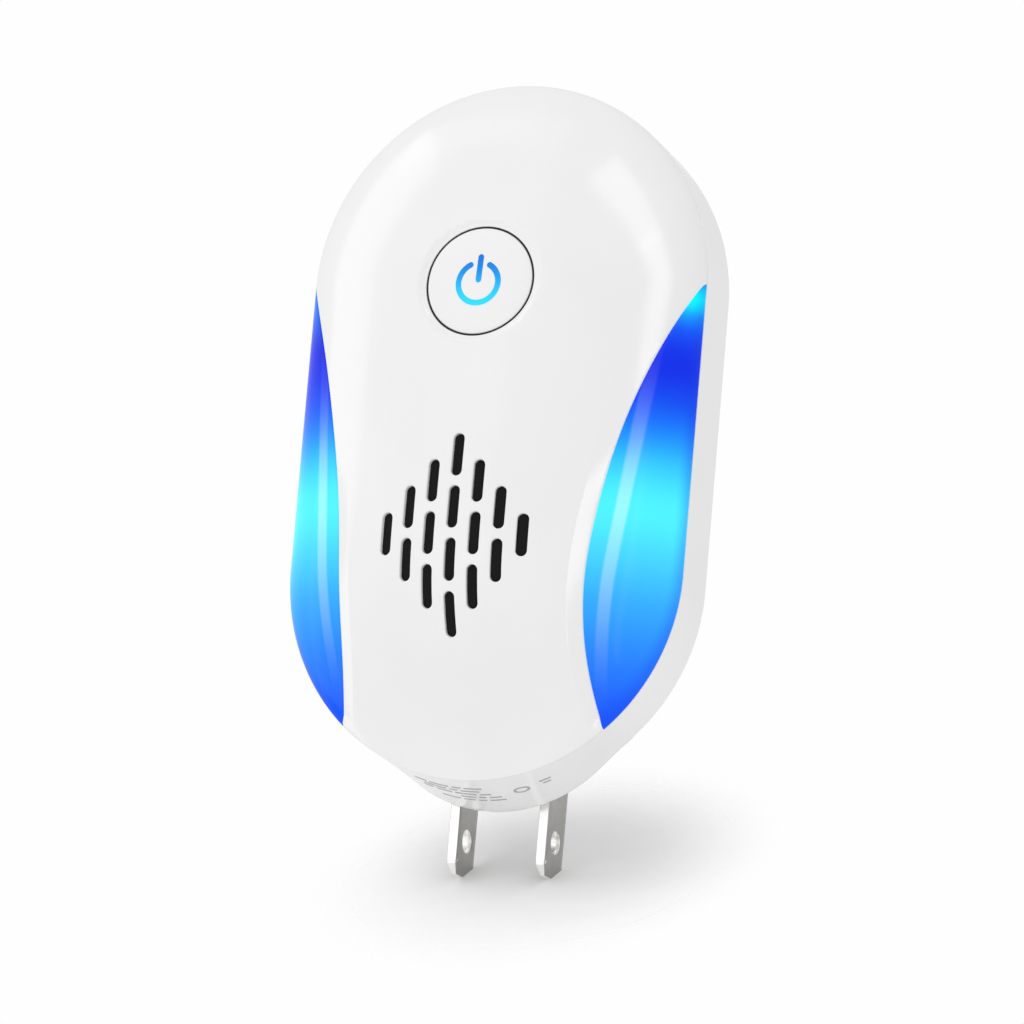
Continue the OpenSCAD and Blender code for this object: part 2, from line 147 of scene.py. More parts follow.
# Rating print: ink above and below the chin's face, height of a bar, of a row and first row.
# Heights run from 0 at the parting line to 1 where the rim's back edge begins to round.
INK_PROUD, INK_SUNK = 0.02, 0.05
BAR_T, ROW_T, FIRST_T, BAR_GAP = 0.024, 0.088, 0.27, 0.35


# ---------------------------------------------------------------- outlines and heights

def smooth(t):
    """Soft step from 0 to 1."""
    t = np.clip(t, 0, 1)
    return t * t * (3 - 2 * t)


def inward(p):
    """Distance of flat points (x, z) inside the case outline."""
    return R - np.hypot(p[:, 0], np.maximum(np.abs(p[:, 1]) - L, 0))


def lens_edge(z):
    """Distance of the lens's inner edge from the middle at height z."""
    return LENS_X + np.where(z > LENS_Z, LENS_UP, LENS_DOWN) * (z - LENS_Z) ** 2


def lens_slope(z):
    """How fast lens_edge grows with height."""
    return 2 * np.where(z > LENS_Z, LENS_UP, LENS_DOWN) * (z - LENS_Z)


def from_lens(p):
    """Distance from the nearer lens edge, positive on the cover's side."""
    return (lens_edge(p[:, 1]) - np.abs(p[:, 0])) / np.hypot(1, lens_slope(p[:, 1]))


def slot_centres():
    """The diamond of slots: four in the middle column, one at each side."""
    found = []
    for column in range(-3, 4):
        rows = 4 - abs(column)
        for row in range(rows):
            found.append((column * SLOT_DX, GRILLE_Z + ((rows - 1) / 2 - row) * SLOT_DZ))
    return found


def from_slots(p):
    """Distance outside the nearest slot."""
    best = np.full(len(p), 1e9)
    half = (SLOT_H - SLOT_W) / 2
    for x, z in slot_centres():
        away = np.hypot(p[:, 0] - x, np.maximum(np.abs(p[:, 1] - z) - half, 0)) - SLOT_W / 2
        best = np.minimum(best, away)
    return best


def from_button(p):
    """Distance outside the button's hole."""
    return np.hypot(p[:, 0], p[:, 1] - BUTTON_Z) - HOLE_R


def rounding(s, radius):
    """How far an edge's rounding drops the surface at distance s from the edge."""
    left = np.clip(radius - s, 0, radius)
    return radius - np.sqrt(np.maximum(radius ** 2 - left ** 2, 0))


def crown_height(p):
    """Height of the plain crowned front above the parting plane."""
    z = p[:, 1]
    low = np.maximum(APEX_Z - z, 0) / CHIN_FALL
    top = FRONT_D - BOW_UP * np.maximum(z - APEX_Z, 0) ** 2 - BOW_DOWN * low ** BOW_POWER
    u = 1 - np.clip(inward(p) / R, 0, 1)
    u = (np.hypot(u, RIDGE_SOFT) - RIDGE_SOFT) / (math.hypot(1, RIDGE_SOFT) - RIDGE_SOFT)
    return top * (1 - u ** FLANK_N) ** (1 / FLANK_N)


def bevel_depth(z):
    """Depth of the lens bevel, which fades in from a little above the middle down."""
    return BEVEL_D * smooth((BEVEL_TOP - z) / BEVEL_FADE)


def cover_height(p):
    """Front cover: crown, less the dish round the button, the lens bevels and the rounded edges."""
    away, s = from_button(p), from_lens(p)
    drop = DISH_D * (1 - smooth(away / DISH_W))
    drop += bevel_depth(p[:, 1]) * np.clip(1 - s / BEVEL_W, 0, 1)
    drop += rounding(from_slots(p), EDGE_SLOT) + rounding(away, EDGE_HOLE)
    drop += rounding(s - LENS_GAP / 2, EDGE_LENS)
    return np.maximum(crown_height(p) - drop * smooth(inward(p) / OUTLINE_FADE), 0)


def lens_height(p):
    """Side lens: the same crown, a hair below the cover and following its bevel."""
    s = -from_lens(p) - LENS_GAP / 2
    drop = LENS_SUNK + bevel_depth(p[:, 1]) * (1 - smooth(s / LENS_BLEND))
    drop += rounding(s, EDGE_LENS)
    return np.maximum(crown_height(p) - drop * smooth(inward(p) / OUTLINE_FADE), 0)


def facing(height, p):
    """Outward normals of a height field that rises towards -Y."""
    step = 0.004
    dx = (height(p + [step, 0]) - height(p - [step, 0])) / (2 * step)
    dz = (height(p + [0, step]) - height(p - [0, step])) / (2 * step)
    n = np.stack([-dx, -np.ones(len(p)), -dz], 1)
    return n / np.linalg.norm(n, axis=1)[:, None]


# ---------------------------------------------------------------- mesh making

def half_outline(radius):
    """Right half of a case outline from the bottom to the top."""
    low = np.radians(np.linspace(-90, 0, ARC + 1))
    points = [(radius * math.cos(a), -L + radius * math.sin(a)) for a in low]
    points += [(radius, z) for z in np.linspace(-L, L, SIDE + 1)[1:-1]]
    points += [(radius * math.cos(a), L + radius * math.sin(a)) for a in low + math.pi / 2]
    return np.array(points)


def whole(half):
    """Closed outline from its right half."""
    return np.vstack([half, (half[1:-1] * [-1, 1])[::-1]])


def circle(x, z, radius, count):
    """Outline of a circle in count points."""
    a = np.linspace(0, 2 * math.pi, count, endpoint=False)
    return np.stack([x + radius * np.cos(a), z + radius * np.sin(a)], 1)


def slot_loop(x, z, grow, arc=14):
    """Outline of one slot, made larger all round by grow."""
    r, half = SLOT_W / 2 + grow, (SLOT_H - SLOT_W) / 2
    a = np.linspace(0, math.pi, arc)
    top = np.stack([x + r * np.cos(a), z + half + r * np.sin(a)], 1)
    side = np.linspace(half, -half, 10)[1:-1]
    left = np.stack([np.full(len(side), x - r), z + side], 1)
    return np.vstack([top, left, 2 * np.array([x, z]) - top, 2 * np.array([x, z]) - left])


def hex_grid(lo, hi, step):
    """Grid of points between two corners, every second row moved by half a step."""
    row = np.arange(lo[0], hi[0], step)
    heights = np.arange(lo[1], hi[1], step * math.sqrt(3) / 2)
    return np.vstack([np.stack([row + (i % 2) * step / 2, np.full(len(row), z)], 1)
                      for i, z in enumerate(heights)])


def triangles(free, lines, keep):
    """Triangulates flat points, with lines kept as edges. A line is (points, closed).

    Returns the points, the triangles, and each point's place in the list that was given.
    """
    points, edges = [tuple(p) for p in free], []
    for line, closed in lines:
        base, n = len(points), len(line)
        points += [tuple(p) for p in line]
        edges += [(base + i, base + (i + 1) % n) for i in range(n if closed else n - 1)]
    made = delaunay_2d_cdt([Vector(p) for p in points], edges, [], 0, 1e-6)
    flat = np.array([v[:] for v in made[0]])
    tris = np.array(made[2])
    tris = tris[keep(flat[tris].mean(1))]
    used, index = np.unique(tris, return_inverse=True)
    origin = [min(made[3][v], default=-1) for v in used]
    flat, tris = flat[used], index.reshape(-1, 3)
    a, b, c = (flat[tris[:, i]] for i in range(3))
    turn = (b - a)[:, 0] * (c - a)[:, 1] - (b - a)[:, 1] * (c - a)[:, 0]
    tris[turn < 0] = tris[turn < 0][:, ::-1]
    return flat, tris, np.array(origin)


def open_edges(tris):
    """Directed edges that only one triangle has."""
    pairs = np.vstack([tris[:, [0, 1]], tris[:, [1, 2]], tris[:, [2, 0]]])
    seen = {tuple(p) for p in pairs}
    return [p for p in seen if (p[1], p[0]) not in seen]


def skins(tris, count):
    """Faces of a closed piece: a skin, the same turned and count points on, walls between."""
    return ([tuple(t) for t in tris] + [tuple(t[::-1] + count) for t in tris]
            + [(b, a, a + count, b + count) for a, b in open_edges(tris)])


def linked(name, verts, faces):
    """Smooth piece from millimetre points, put into the scene."""
    mesh = bpy.data.meshes.new(name)
    mesh.from_pydata((np.asarray(verts) * MM).tolist(), [], [list(map(int, f)) for f in faces])
    mesh.polygons.foreach_set("use_smooth", [True] * len(mesh.polygons))
    piece = bpy.data.objects.new(name, mesh)
    bpy.context.scene.collection.objects.link(piece)
    return piece


def finished(name, verts, faces, angle=32):
    """Piece that is smooth but for edges sharper than angle."""
    piece = linked(name, verts, faces)
    piece.data.set_sharp_from_angle(angle=math.radians(angle))
    return piece


def stood(name, flat, tris, height, back):
    """Closed piece whose face is a height field and whose back lies at a plain depth along Y."""
    outer = np.stack([flat[:, 0], PART_Y - height(flat), flat[:, 1]], 1)
    inner = np.stack([flat[:, 0], np.full(len(flat), back), flat[:, 1]], 1)
    return finished(name, np.vstack([outer, inner]), skins(tris, len(flat)))


def face_normal(points):
    """Normal of a flat face, or -Y where the face has no area."""
    n = np.cross(points[1] - points[0], points[2] - points[0])
    size = np.linalg.norm(n)
    return n / size if size > 1e-12 else np.array([0.0, -1.0, 0.0])


def shell(name, flat, tris, outer, normal, inner):
    """Closed piece with a given normal at each point of its outside, and flat side walls."""
    verts = np.vstack([outer, inner])
    faces = skins(tris, len(flat))
    normals = [normal[v] for t in tris for v in t] + [-normal[v] for t in tris for v in t[::-1]]
    for wall in faces[2 * len(tris):]:
        normals += [face_normal(verts[list(wall)])] * 4
    piece = linked(name, verts, faces)
    piece.data.normals_split_custom_set(np.asarray(normals).tolist())
    return piece


def lens_ends(shift):
    """Lowest and highest height at which the lens edge, moved by shift, is inside the outline."""
    ends = []
    for low, high in ((-38.0, -46.0), (10.0, 30.0)):
        for _ in range(60):
            mid = (low + high) / 2
            x = lens_edge(np.array([mid]))[0] + shift
            inside = inward(np.array([[x, mid]]))[0] > 0
            low, high = (mid, high) if inside else (low, mid)
        ends.append(low)
    return ends


def lens_line(s, count=150):
    """The right lens edge moved by s, from tip to tip; s is positive on the cover's side."""
    bottom, top = lens_ends(-s)
    z = np.linspace(bottom, top, count)
    return np.stack([lens_edge(z) - s * np.hypot(1, lens_slope(z)), z], 1)


def flank_rings():
    """Rings of points that crowd towards the outline, where the flank is steep."""
    return np.vstack([whole(half_outline(R - 25 * (k / 40) ** 2)) for k in range(1, 16)])


# ---------------------------------------------------------------- front cover and lenses

def front_shell():
    """The crowned white front cover with its button hole, slots and lens cut-outs."""
    lines = [(whole(half_outline(R)), True)]
    extra = []
    for x, z in slot_centres():
        lines.append((slot_loop(x, z, 0), True))
        extra += [slot_loop(x, z, EDGE_SLOT * f) for f in FILLET_STEPS]
    lines.append((circle(0, BUTTON_Z, HOLE_R, 160), True))
    extra += [circle(0, BUTTON_Z, HOLE_R + EDGE_HOLE * f, 160) for f in FILLET_STEPS]
    edge = lens_line(LENS_GAP / 2)
    for side in (1, -1):
        lines.append((edge * [side, 1], False))
        extra += [lens_line(LENS_GAP / 2 + EDGE_LENS * f) * [side, 1] for f in FILLET_STEPS]
        extra += [lens_line(s) * [side, 1] for s in (BEVEL_W - 0.06, BEVEL_W, BEVEL_W + 0.06)]
    grid = hex_grid((-R, -R - L), (R, R + L), FRONT_GRID)
    free = np.vstack([flank_rings(), grid[inward(grid) > FLANK_ZONE]])
    # Free points keep clear of the lines that draw the rounded edges.
    clear = (from_slots(free) > EDGE_SLOT + 0.15) & (from_button(free) > EDGE_HOLE + 0.15)
    clear &= from_lens(free) > LENS_GAP / 2 + EDGE_LENS + 0.1
    clear &= np.abs(from_lens(free) - BEVEL_W) > 0.15
    free = np.vstack([free[clear], *[e[(inward(e) > 0.01) & (from_lens(e) > 0)] for e in extra]])

    def keep(c):
        return ((inward(c) > 0) & (from_slots(c) > 0) & (from_button(c) > 0)
                & (from_lens(c) > LENS_GAP / 2))

    flat, tris, _ = triangles(free, lines, keep)
    return skin_piece("front_cover", flat, tris, cover_height)


def side_lens(name, side):
    """One crescent lens, flush with the cover's flank."""
    outline = half_outline(R)
    edge = lens_line(-LENS_GAP / 2)
    outline = outline[from_lens(outline) < -LENS_GAP / 2]
    lines = [(np.vstack([edge, outline[::-1]]), True)]
    grid = hex_grid((0, -R - L), (R, R + L), FRONT_GRID)
    free = np.vstack([flank_rings(), grid[inward(grid) > FLANK_ZONE]])
    free = free[from_lens(free) < -LENS_GAP / 2 - EDGE_LENS - 0.1]
    extra = [lens_line(-LENS_GAP / 2 - EDGE_LENS * f) for f in FILLET_STEPS]
    free = np.vstack([free[free[:, 0] > 0], *[e[inward(e) > 0.02] for e in extra]])

    def keep(c):
        return (inward(c) > 0) & (from_lens(c) < -LENS_GAP / 2) & (c[:, 0] > 0)

    flat, tris, _ = triangles(free, lines, keep)
    if side < 0:
        flat, tris = flat * [-1, 1], tris[:, ::-1]
    return skin_piece(name, flat, tris, lens_height)


def skin_piece(name, flat, tris, height):
    """Closed piece of the crowned front, WALL thick along the plain crown's normal."""
    outer = np.stack([flat[:, 0], PART_Y - height(flat), flat[:, 1]], 1)
    plain = np.stack([flat[:, 0], PART_Y - crown_height(flat), flat[:, 1]], 1)
    inner = plain - WALL * facing(crown_height, flat)
    inner[:, 1] = np.minimum(inner[:, 1], PART_Y)
    return shell(name, flat, tris, outer, facing(height, flat), inner)


# ---------------------------------------------------------------- rear cover

def back_half(radius, chin, count):
    """Right half of the rim's back outline, evenly stepped from the bottom to the widest point."""
    tangent = math.asin((radius - chin) / (-CHIN_Z - L))
    turn = np.linspace(0, 1, 400)
    low = [(chin * math.cos(a), CHIN_Z + chin * math.sin(a))
           for a in -math.pi / 2 + turn * (math.pi / 2 - tangent)]
    high = [(radius * math.cos(a), -L + radius * math.sin(a)) for a in -tangent + turn * tangent]
    path = np.array(low + high)
    along = np.concatenate([[0], np.cumsum(np.linalg.norm(np.diff(path, axis=0), axis=1))])
    want = np.linspace(0, along[-1], count)
    return np.stack([np.interp(want, along, path[:, i]) for i in range(2)], 1)


def back_outline(inset):
    """Closed back outline of the rim: the case outline drawn in, with the chin below."""
    upper = half_outline(REAR_R - inset)[ARC + 1:]
    return whole(np.vstack([back_half(REAR_R - inset, CHIN_R - inset, ARC + 1), upper]))


def polyline_inset(p, outline):
    """Distance of flat points inside a closed convex outline, negative outside."""
    a, b = outline, np.roll(outline, -1, 0)
    best = np.full(len(p), 1e9)
    side = np.full(len(p), 1e9)
    for start, end in zip(a, b):
        run = end - start
        size = np.hypot(*run)
        t = np.clip(((p - start) @ run) / size ** 2, 0, 1)
        away = p - start - t[:, None] * run
        best = np.minimum(best, np.hypot(away[:, 0], away[:, 1]))
        side = np.minimum(side, (run[0] * (p - start)[:, 1] - run[1] * (p - start)[:, 0]) / size)
    return np.where(side > 0, best, -best)


def from_boss(p):
    """Signed distance from the raised back's outline, negative inside."""
    half = np.array([BOSS_X, (BOSS_TOP - BOSS_BOTTOM) / 2])
    middle = np.array([0, (BOSS_TOP + BOSS_BOTTOM) / 2])
    q = np.abs(p - middle) - half + BOSS_CORNER
    round_the_corner = np.hypot(np.maximum(q[:, 0], 0), np.maximum(q[:, 1], 0))
    return round_the_corner + np.minimum(np.maximum(q[:, 0], q[:, 1]), 0) - BOSS_CORNER


def boss_loop(grow, arc=16):
    """Outline of the raised back, grown by grow, with its straight runs in 1 mm steps."""
    corner = BOSS_CORNER + grow
    x, low, high = BOSS_X - BOSS_CORNER, BOSS_BOTTOM + BOSS_CORNER, BOSS_TOP - BOSS_CORNER
    turns = []
    for mid_x, mid_z, start in ((x, low, -90), (x, high, 0), (-x, high, 90), (-x, low, 180)):
        a = np.radians(np.linspace(start, start + 90, arc))
        turns.append(np.stack([mid_x + corner * np.cos(a), mid_z + corner * np.sin(a)], 1))
    path = np.vstack(turns)
    loop = []
    for start, end in zip(path, np.roll(path, -1, 0)):
        count = max(1, round(float(np.linalg.norm(end - start))))
        loop.append(start + (end - start) * np.linspace(0, 1, count, endpoint=False)[:, None])
    return np.vstack(loop)


def in_bay(p):
    """Whether flat points lie over the plug bay."""
    return (np.abs(p[:, 0]) < BAY_X) & (p[:, 1] < HINGE_Z + BAY_R)


def in_cap(p):
    """Whether flat points lie over a hinge cap."""
    return ((np.abs(p[:, 0]) >= BAY_X) & (np.abs(p[:, 0]) < CAP_X)
            & (p[:, 1] < HINGE_Z + CAP_TOP))


def back_height(p):
    """Place along Y of the rear cover's outside, over flat points inside the rim."""
    # Raised back: rounded foot, slightly drafted side, rounded edge.
    e = from_boss(p)
    lower, upper = BACK_Y + BOSS_FOOT, -BOSS_EDGE
    y = np.where(e > DRAFT + BOSS_FOOT, BACK_Y, lower - np.sqrt(np.maximum(
        BOSS_FOOT ** 2 - (DRAFT + BOSS_FOOT - e) ** 2, 0)))
    y = np.where(e < DRAFT, upper + (lower - upper) * np.clip(e / DRAFT, 0, 1), y)
    y = np.where(e < 0, upper + np.sqrt(np.maximum(
        BOSS_EDGE ** 2 - np.clip(e + BOSS_EDGE, 0, 1) ** 2, 0)), y)
    # Plug bay: a round trough for the carrier, open below, and a step for each hinge cap.
    trough = HINGE_Y - np.sqrt(np.maximum(BAY_R ** 2 - (p[:, 1] - HINGE_Z) ** 2, 0))
    trough = np.where(p[:, 1] < HINGE_Z, np.minimum(trough, BACK_Y), trough)
    y = np.where(in_bay(p), trough, y)
    y = np.where(in_cap(p) & (e < DRAFT), np.minimum(y, HINGE_Y), y)
    for x, z in SCREWS:
        r = np.hypot(p[:, 0] - x, p[:, 1] - z)
        seat = (BACK_Y if z > 0 else 0) - SCREW_DEPTH
        edge = rounding(r - SCREW_R, SCREW_EDGE)
        y = np.where(r < SCREW_R, seat, y - edge * (r >= SCREW_R))
    return y


def level(outline, y):
    """Flat points stood up at one place along Y."""
    return np.stack([outline[:, 0], np.full(len(outline), y), outline[:, 1]], 1)


def bulged(outline):
    """The outline with its straight runs bent out a hair, so that no three points are in line."""
    return outline * (1 - 1e-6 * (outline ** 2).sum(1))[:, None]


# The wall is drawn flat, as rings beyond the flat back: these are the distances of the groove,
# of the wall's front edge, and of the line where its back edge begins to round.
GROOVE_OUT, WALL_OUT, ROUND_OUT = 8.4, 8.0, 3.0
REAR_GRID = 1.3
SHEER = 0.02                    # width over which an upright wall is drawn


def rear_outside():
    """Outside of the rear cover: rim with its chin, flat back, raised wall face and plug bay."""
    rim = back_outline(0)
    front = whole(half_outline(R))
    edge_in = back_outline(RIM_EDGE)
    ring_flat = [bulged(back_outline(-GROOVE_OUT))]
    ring_places = [level(whole(half_outline(R - NOTCH_D)), PART_Y)]
    for t in np.linspace(0, 1, 13):
        # Along the wall, from the groove at the parting line to where the edge's rounding starts.
        ring_flat.append(bulged(back_outline((WALL_OUT - ROUND_OUT) * t - WALL_OUT)))
        ring_places.append(level(front + (rim - front) * t,
                                 PART_Y + NOTCH_W + (RIM_D - RIM_EDGE - NOTCH_W) * t))
    for f in (0.12, 0.3, 0.5, 0.7, 0.88):
        turn = f * math.pi / 2
        ring_flat.append(bulged(back_outline(ROUND_OUT * f - ROUND_OUT)))
        ring_places.append(level(back_outline(RIM_EDGE * (1 - math.cos(turn))),
                                 BACK_Y - RIM_EDGE * (1 - math.sin(turn))))
    known_flat = np.vstack(ring_flat)
    known = np.vstack(ring_places)

    # Lines: outer border, rim, raised back, sides and trough of the bay, caps, screw holes.
    lines = [(ring_flat[0], True), (edge_in, True)]
    for grow in (DRAFT + BOSS_FOOT, DRAFT + BOSS_FOOT * 0.6, DRAFT + BOSS_FOOT * 0.25, DRAFT,
                 0, -BOSS_EDGE * 0.12, -BOSS_EDGE * 0.4, -BOSS_EDGE):
        lines.append((boss_loop(grow), True))
    top = HINGE_Z + BAY_R
    for grow in (0, -SHEER):
        x = BAY_X + grow
        lines.append((np.array([(-x, BOSS_BOTTOM - 2), (-x, top + grow), (x, top + grow),
                                (x, BOSS_BOTTOM - 2)]), False))
    for z in np.linspace(HINGE_Z - BAY_R + 0.3, top - 0.06, 17):
        lines.append((np.array([(-BAY_X + SHEER, z), (BAY_X - SHEER, z)]), False))
    for side in (1, -1):
        for grow in (0, SHEER):
            x, z = CAP_X + grow, HINGE_Z + CAP_TOP + grow
            lines.append((np.array([(side * (BAY_X + SHEER), z), (side * x, z),
                                    (side * x, BOSS_BOTTOM - 1.5)]), False))
    for x, z in SCREWS:
        for grow in (-SHEER, 0, 0.06, 0.14, SCREW_EDGE):
            lines.append((circle(x, z, SCREW_R + grow, 40), True))
    grid = hex_grid((-R, -R - L - 4), (R, R + L), REAR_GRID)
    grid = grid[polyline_inset(grid, edge_in) > 0.6]
    flat, tris, origin = triangles(np.vstack([known_flat, grid]), lines,
                                   lambda c: polyline_inset(c, ring_flat[0]) > 0)
    outer = np.stack([flat[:, 0], back_height(flat), flat[:, 1]], 1)
    # Points beyond the flat back keep the places worked out for them above.
    placed = (origin >= 0) & (origin < len(known))
    outer[placed] = known[origin[placed]]
    return tris[:, ::-1], outer


def closed_rear(name):
    """Rear cover as one closed piece: its outside, its hollow inside and the rim between them."""
    tris, outer = rear_outside()
    rim = level(whole(half_outline(R - NOTCH_D)), PART_Y)
    rim_in = level(whole(half_outline(R - WALL)), PART_Y)
    floor_in = bulged(back_outline(WALL))
    count = len(rim)
    boss_in = boss_loop(-WALL)
    boss_in = boss_in[boss_in[:, 1] > HINGE_Z + BAY_R + WALL]
    posts = [(circle(x, z, r, 32), True) for x, z in SCREWS for r in (POST_R, POST_R - SHEER)]
    well_flat, well_tris, _ = triangles(
        np.zeros((0, 2)), [(floor_in, True), (boss_in, True), (boss_in * 0.999, True)] + posts,
        lambda c: polyline_inset(c, floor_in) > 0)
    deep = polyline_inset(well_flat, boss_in) > 0.01
    depth = np.where(deep, -WALL, BACK_Y - WALL)
    for x, z in SCREWS:
        post = np.hypot(well_flat[:, 0] - x, well_flat[:, 1] - z) < POST_R - SHEER / 2
        depth[post] = (BACK_Y if z > 0 else 0) - SCREW_DEPTH - WALL
    well = np.stack([well_flat[:, 0], depth, well_flat[:, 1]], 1)
    base = np.cumsum([0, len(outer), count, len(well)])
    faces = [tuple(t) for t in tris] + [tuple(t + base[2]) for t in well_tris]
    verts = np.vstack([outer, rim_in, well])

    def ring_index(target, lo, hi):
        """Index of the vertex at each target point, among those from lo to hi."""
        return [lo + int(np.argmin(((verts[lo:hi] - p) ** 2).sum(1))) for p in target]

    out_ring = ring_index(rim, 0, base[1])
    in_ring = list(range(base[1], base[1] + count))
    well_ring = ring_index(level(floor_in, BACK_Y - WALL), base[2], base[3])
    for i in range(count):
        j = (i + 1) % count
        faces.append((out_ring[j], in_ring[j], in_ring[i], out_ring[i]))
        faces.append((in_ring[j], well_ring[j], well_ring[i], in_ring[i]))
    return finished(name, verts, faces)


# ---------------------------------------------------------------- small pieces

def from_key(p):
    """Distance from the middle of the key."""
    return np.hypot(p[:, 0], p[:, 1] - BUTTON_Z)


def button_cap():
    """Round key that follows the crown, with a rounded edge."""
    rings = [CAP_R - KEY_EDGE * f for f in (0, 0.06, 0.2, 0.4, 0.65, 1)]
    lines = [(circle(0, BUTTON_Z, r, 128), True) for r in rings]
    grid = hex_grid((-CAP_R, BUTTON_Z - CAP_R), (CAP_R, BUTTON_Z + CAP_R), 0.7)
    flat, tris, _ = triangles(grid[from_key(grid) < CAP_R - 0.6], lines,
                              lambda c: from_key(c) < CAP_R)
    return stood("button_key", flat, tris, lambda p: crown_height(p) - DISH_D
                 - rounding(CAP_R - from_key(p), KEY_EDGE), KEY_BACK)


def button_ring():
    """Black rubber seal round the key, a little below its face."""
    inner, outer = CAP_R + SEAL_GAP, SEAL_R
    lines = [(circle(0, BUTTON_Z, r, 128), True) for r in (inner, (inner + outer) / 2, outer)]
    flat, tris, _ = triangles(np.zeros((0, 2)), lines,
                              lambda c: (from_key(c) > inner) & (from_key(c) < outer))
    return stood("button_seal", flat, tris,
                 lambda p: crown_height(p) - DISH_D - SEAL_DROP, KEY_BACK)


def icon_mark():
    """Standby mark: a ring open at the top and a bar, with round ends."""
    half = ICON_LINE / 2
    a = np.radians(np.linspace(90 + ICON_GAP, 450 - ICON_GAP, 90))
    outer = np.stack([np.cos(a), np.sin(a)], 1) * (ICON_R + half)
    inner = np.stack([np.cos(a), np.sin(a)], 1) * (ICON_R - half)
    ends = []
    for end, turn in ((a[-1], 1), (a[0], -1)):
        middle = np.array([math.cos(end), math.sin(end)]) * ICON_R
        b = end + turn * np.linspace(0, math.pi, 14)[1:-1]
        ends.append(middle + half * np.stack([np.cos(b), np.sin(b)], 1))
    ring = np.vstack([outer, ends[0], inner[::-1], ends[1][::-1]])
    b = np.linspace(0, math.pi, 14)
    cap = half * np.stack([np.cos(b), np.sin(b)], 1)
    bar = np.vstack([cap + [0, ICON_BAR_TOP - half], -cap + [0, half]])

    def keep(c):
        """Whether flat points lie in the ring, in one of its round ends or in the bar."""
        r = np.hypot(c[:, 0], c[:, 1])
        angle = np.degrees(np.abs(np.arctan2(c[:, 0], c[:, 1])))
        end = np.radians(90 - ICON_GAP)
        tip = np.array([math.cos(end), math.sin(end)]) * ICON_R
        near_tip = np.hypot(np.abs(c[:, 0]) - tip[0], c[:, 1] - tip[1]) < half
        in_ring = (np.abs(r - ICON_R) < half) & (angle > ICON_GAP)
        along = np.clip(c[:, 1], half, ICON_BAR_TOP - half)
        return in_ring | near_tip | (np.hypot(c[:, 0], c[:, 1] - along) < half)

    flat, tris, _ = triangles(np.zeros((0, 2)), [(ring, True), (bar, True)], keep)
    flat = flat + [0, BUTTON_Z - ICON_DROP]
    return stood("standby_mark", flat, tris,
                 lambda p: crown_height(p) - DISH_D + ICON_PROUD, ICON_BACK)


def blade(name, node):
    """One plug blade: rolled strip with rounded edges, a punched hole and a bevelled tip."""
    lo, hi = corners(node)
    x_mid, half = (lo[0] + hi[0]) / 2, (hi[0] - lo[0]) / 2
    y0, y1, tip, top = lo[1], hi[1], lo[2], hi[2]
    y_mid = (y0 + y1) / 2
    # Inside the carrier the strip narrows to a tail.
    shoulder = HINGE_Z - SHOULDER
    tail_0, tail_1 = HINGE_Y - TAIL_HALF, HINGE_Y + TAIL_HALF

    def outline(inset):
        """Strip with two cut corners at the tip and a tail at the top, drawn in by inset."""
        cut = TIP_CUT + inset * (math.sqrt(2) - 1)
        return np.array([(y0 + inset, tip + cut), (y0 + cut, tip + inset),
                         (y1 - cut, tip + inset), (y1 - inset, tip + cut),
                         (y1 - inset, shoulder - inset), (tail_1 - inset, shoulder - inset),
                         (tail_1 - inset, top - inset), (tail_0 + inset, top - inset),
                         (tail_0 + inset, shoulder - inset), (y0 + inset, shoulder - inset)])

    hole_z = tip + BLADE_HOLE_UP

    def edge_distance(p):
        """Distance inside the nearest edge, or the hole's."""
        tail = np.minimum.reduce([p[:, 0] - tail_0, tail_1 - p[:, 0], top - p[:, 1],
                                  p[:, 1] - shoulder + SHOULDER])
        d = np.minimum.reduce([p[:, 0] - y0, y1 - p[:, 0], p[:, 1] - tip, shoulder - p[:, 1],
                               ((p[:, 0] - y0) + (p[:, 1] - tip) - TIP_CUT) / math.sqrt(2),
                               ((y1 - p[:, 0]) + (p[:, 1] - tip) - TIP_CUT) / math.sqrt(2)])
        hole = np.hypot(p[:, 0] - y_mid, p[:, 1] - hole_z) - BLADE_HOLE_R
        return np.minimum(np.maximum(d, tail), hole)

    def face(p):
        """Half thickness: thinner at the tip, and rounded off by nine tenths at the edges."""
        tip_drop = TIP_DROP * np.clip(1 - (p[:, 1] - tip) / TIP_BEVEL, 0, 1)
        return half - tip_drop - rounding(edge_distance(p), BLADE_EDGE) * 0.9

    steps = [BLADE_EDGE * f for f in (0, 0.15, 0.4, 0.7, 1)]
    lines = [(outline(s), True) for s in steps]
    lines += [(circle(y_mid, hole_z, BLADE_HOLE_R + s, 56), True) for s in steps]
    lines.append((np.array([(y0 + 0.3, tip + TIP_BEVEL), (y1 - 0.3, tip + TIP_BEVEL)]), False))
    flat, tris, _ = triangles(hex_grid((y0, tip), (y1, top), 0.8), lines,
                              lambda c: edge_distance(c) > 0)
    depth = face(flat)
    right = np.stack([x_mid + depth, flat[:, 0], flat[:, 1]], 1)
    left = np.stack([x_mid - depth, flat[:, 0], flat[:, 1]], 1)
    return finished(name, np.vstack([right, left]), skins(tris, len(flat)), 24)


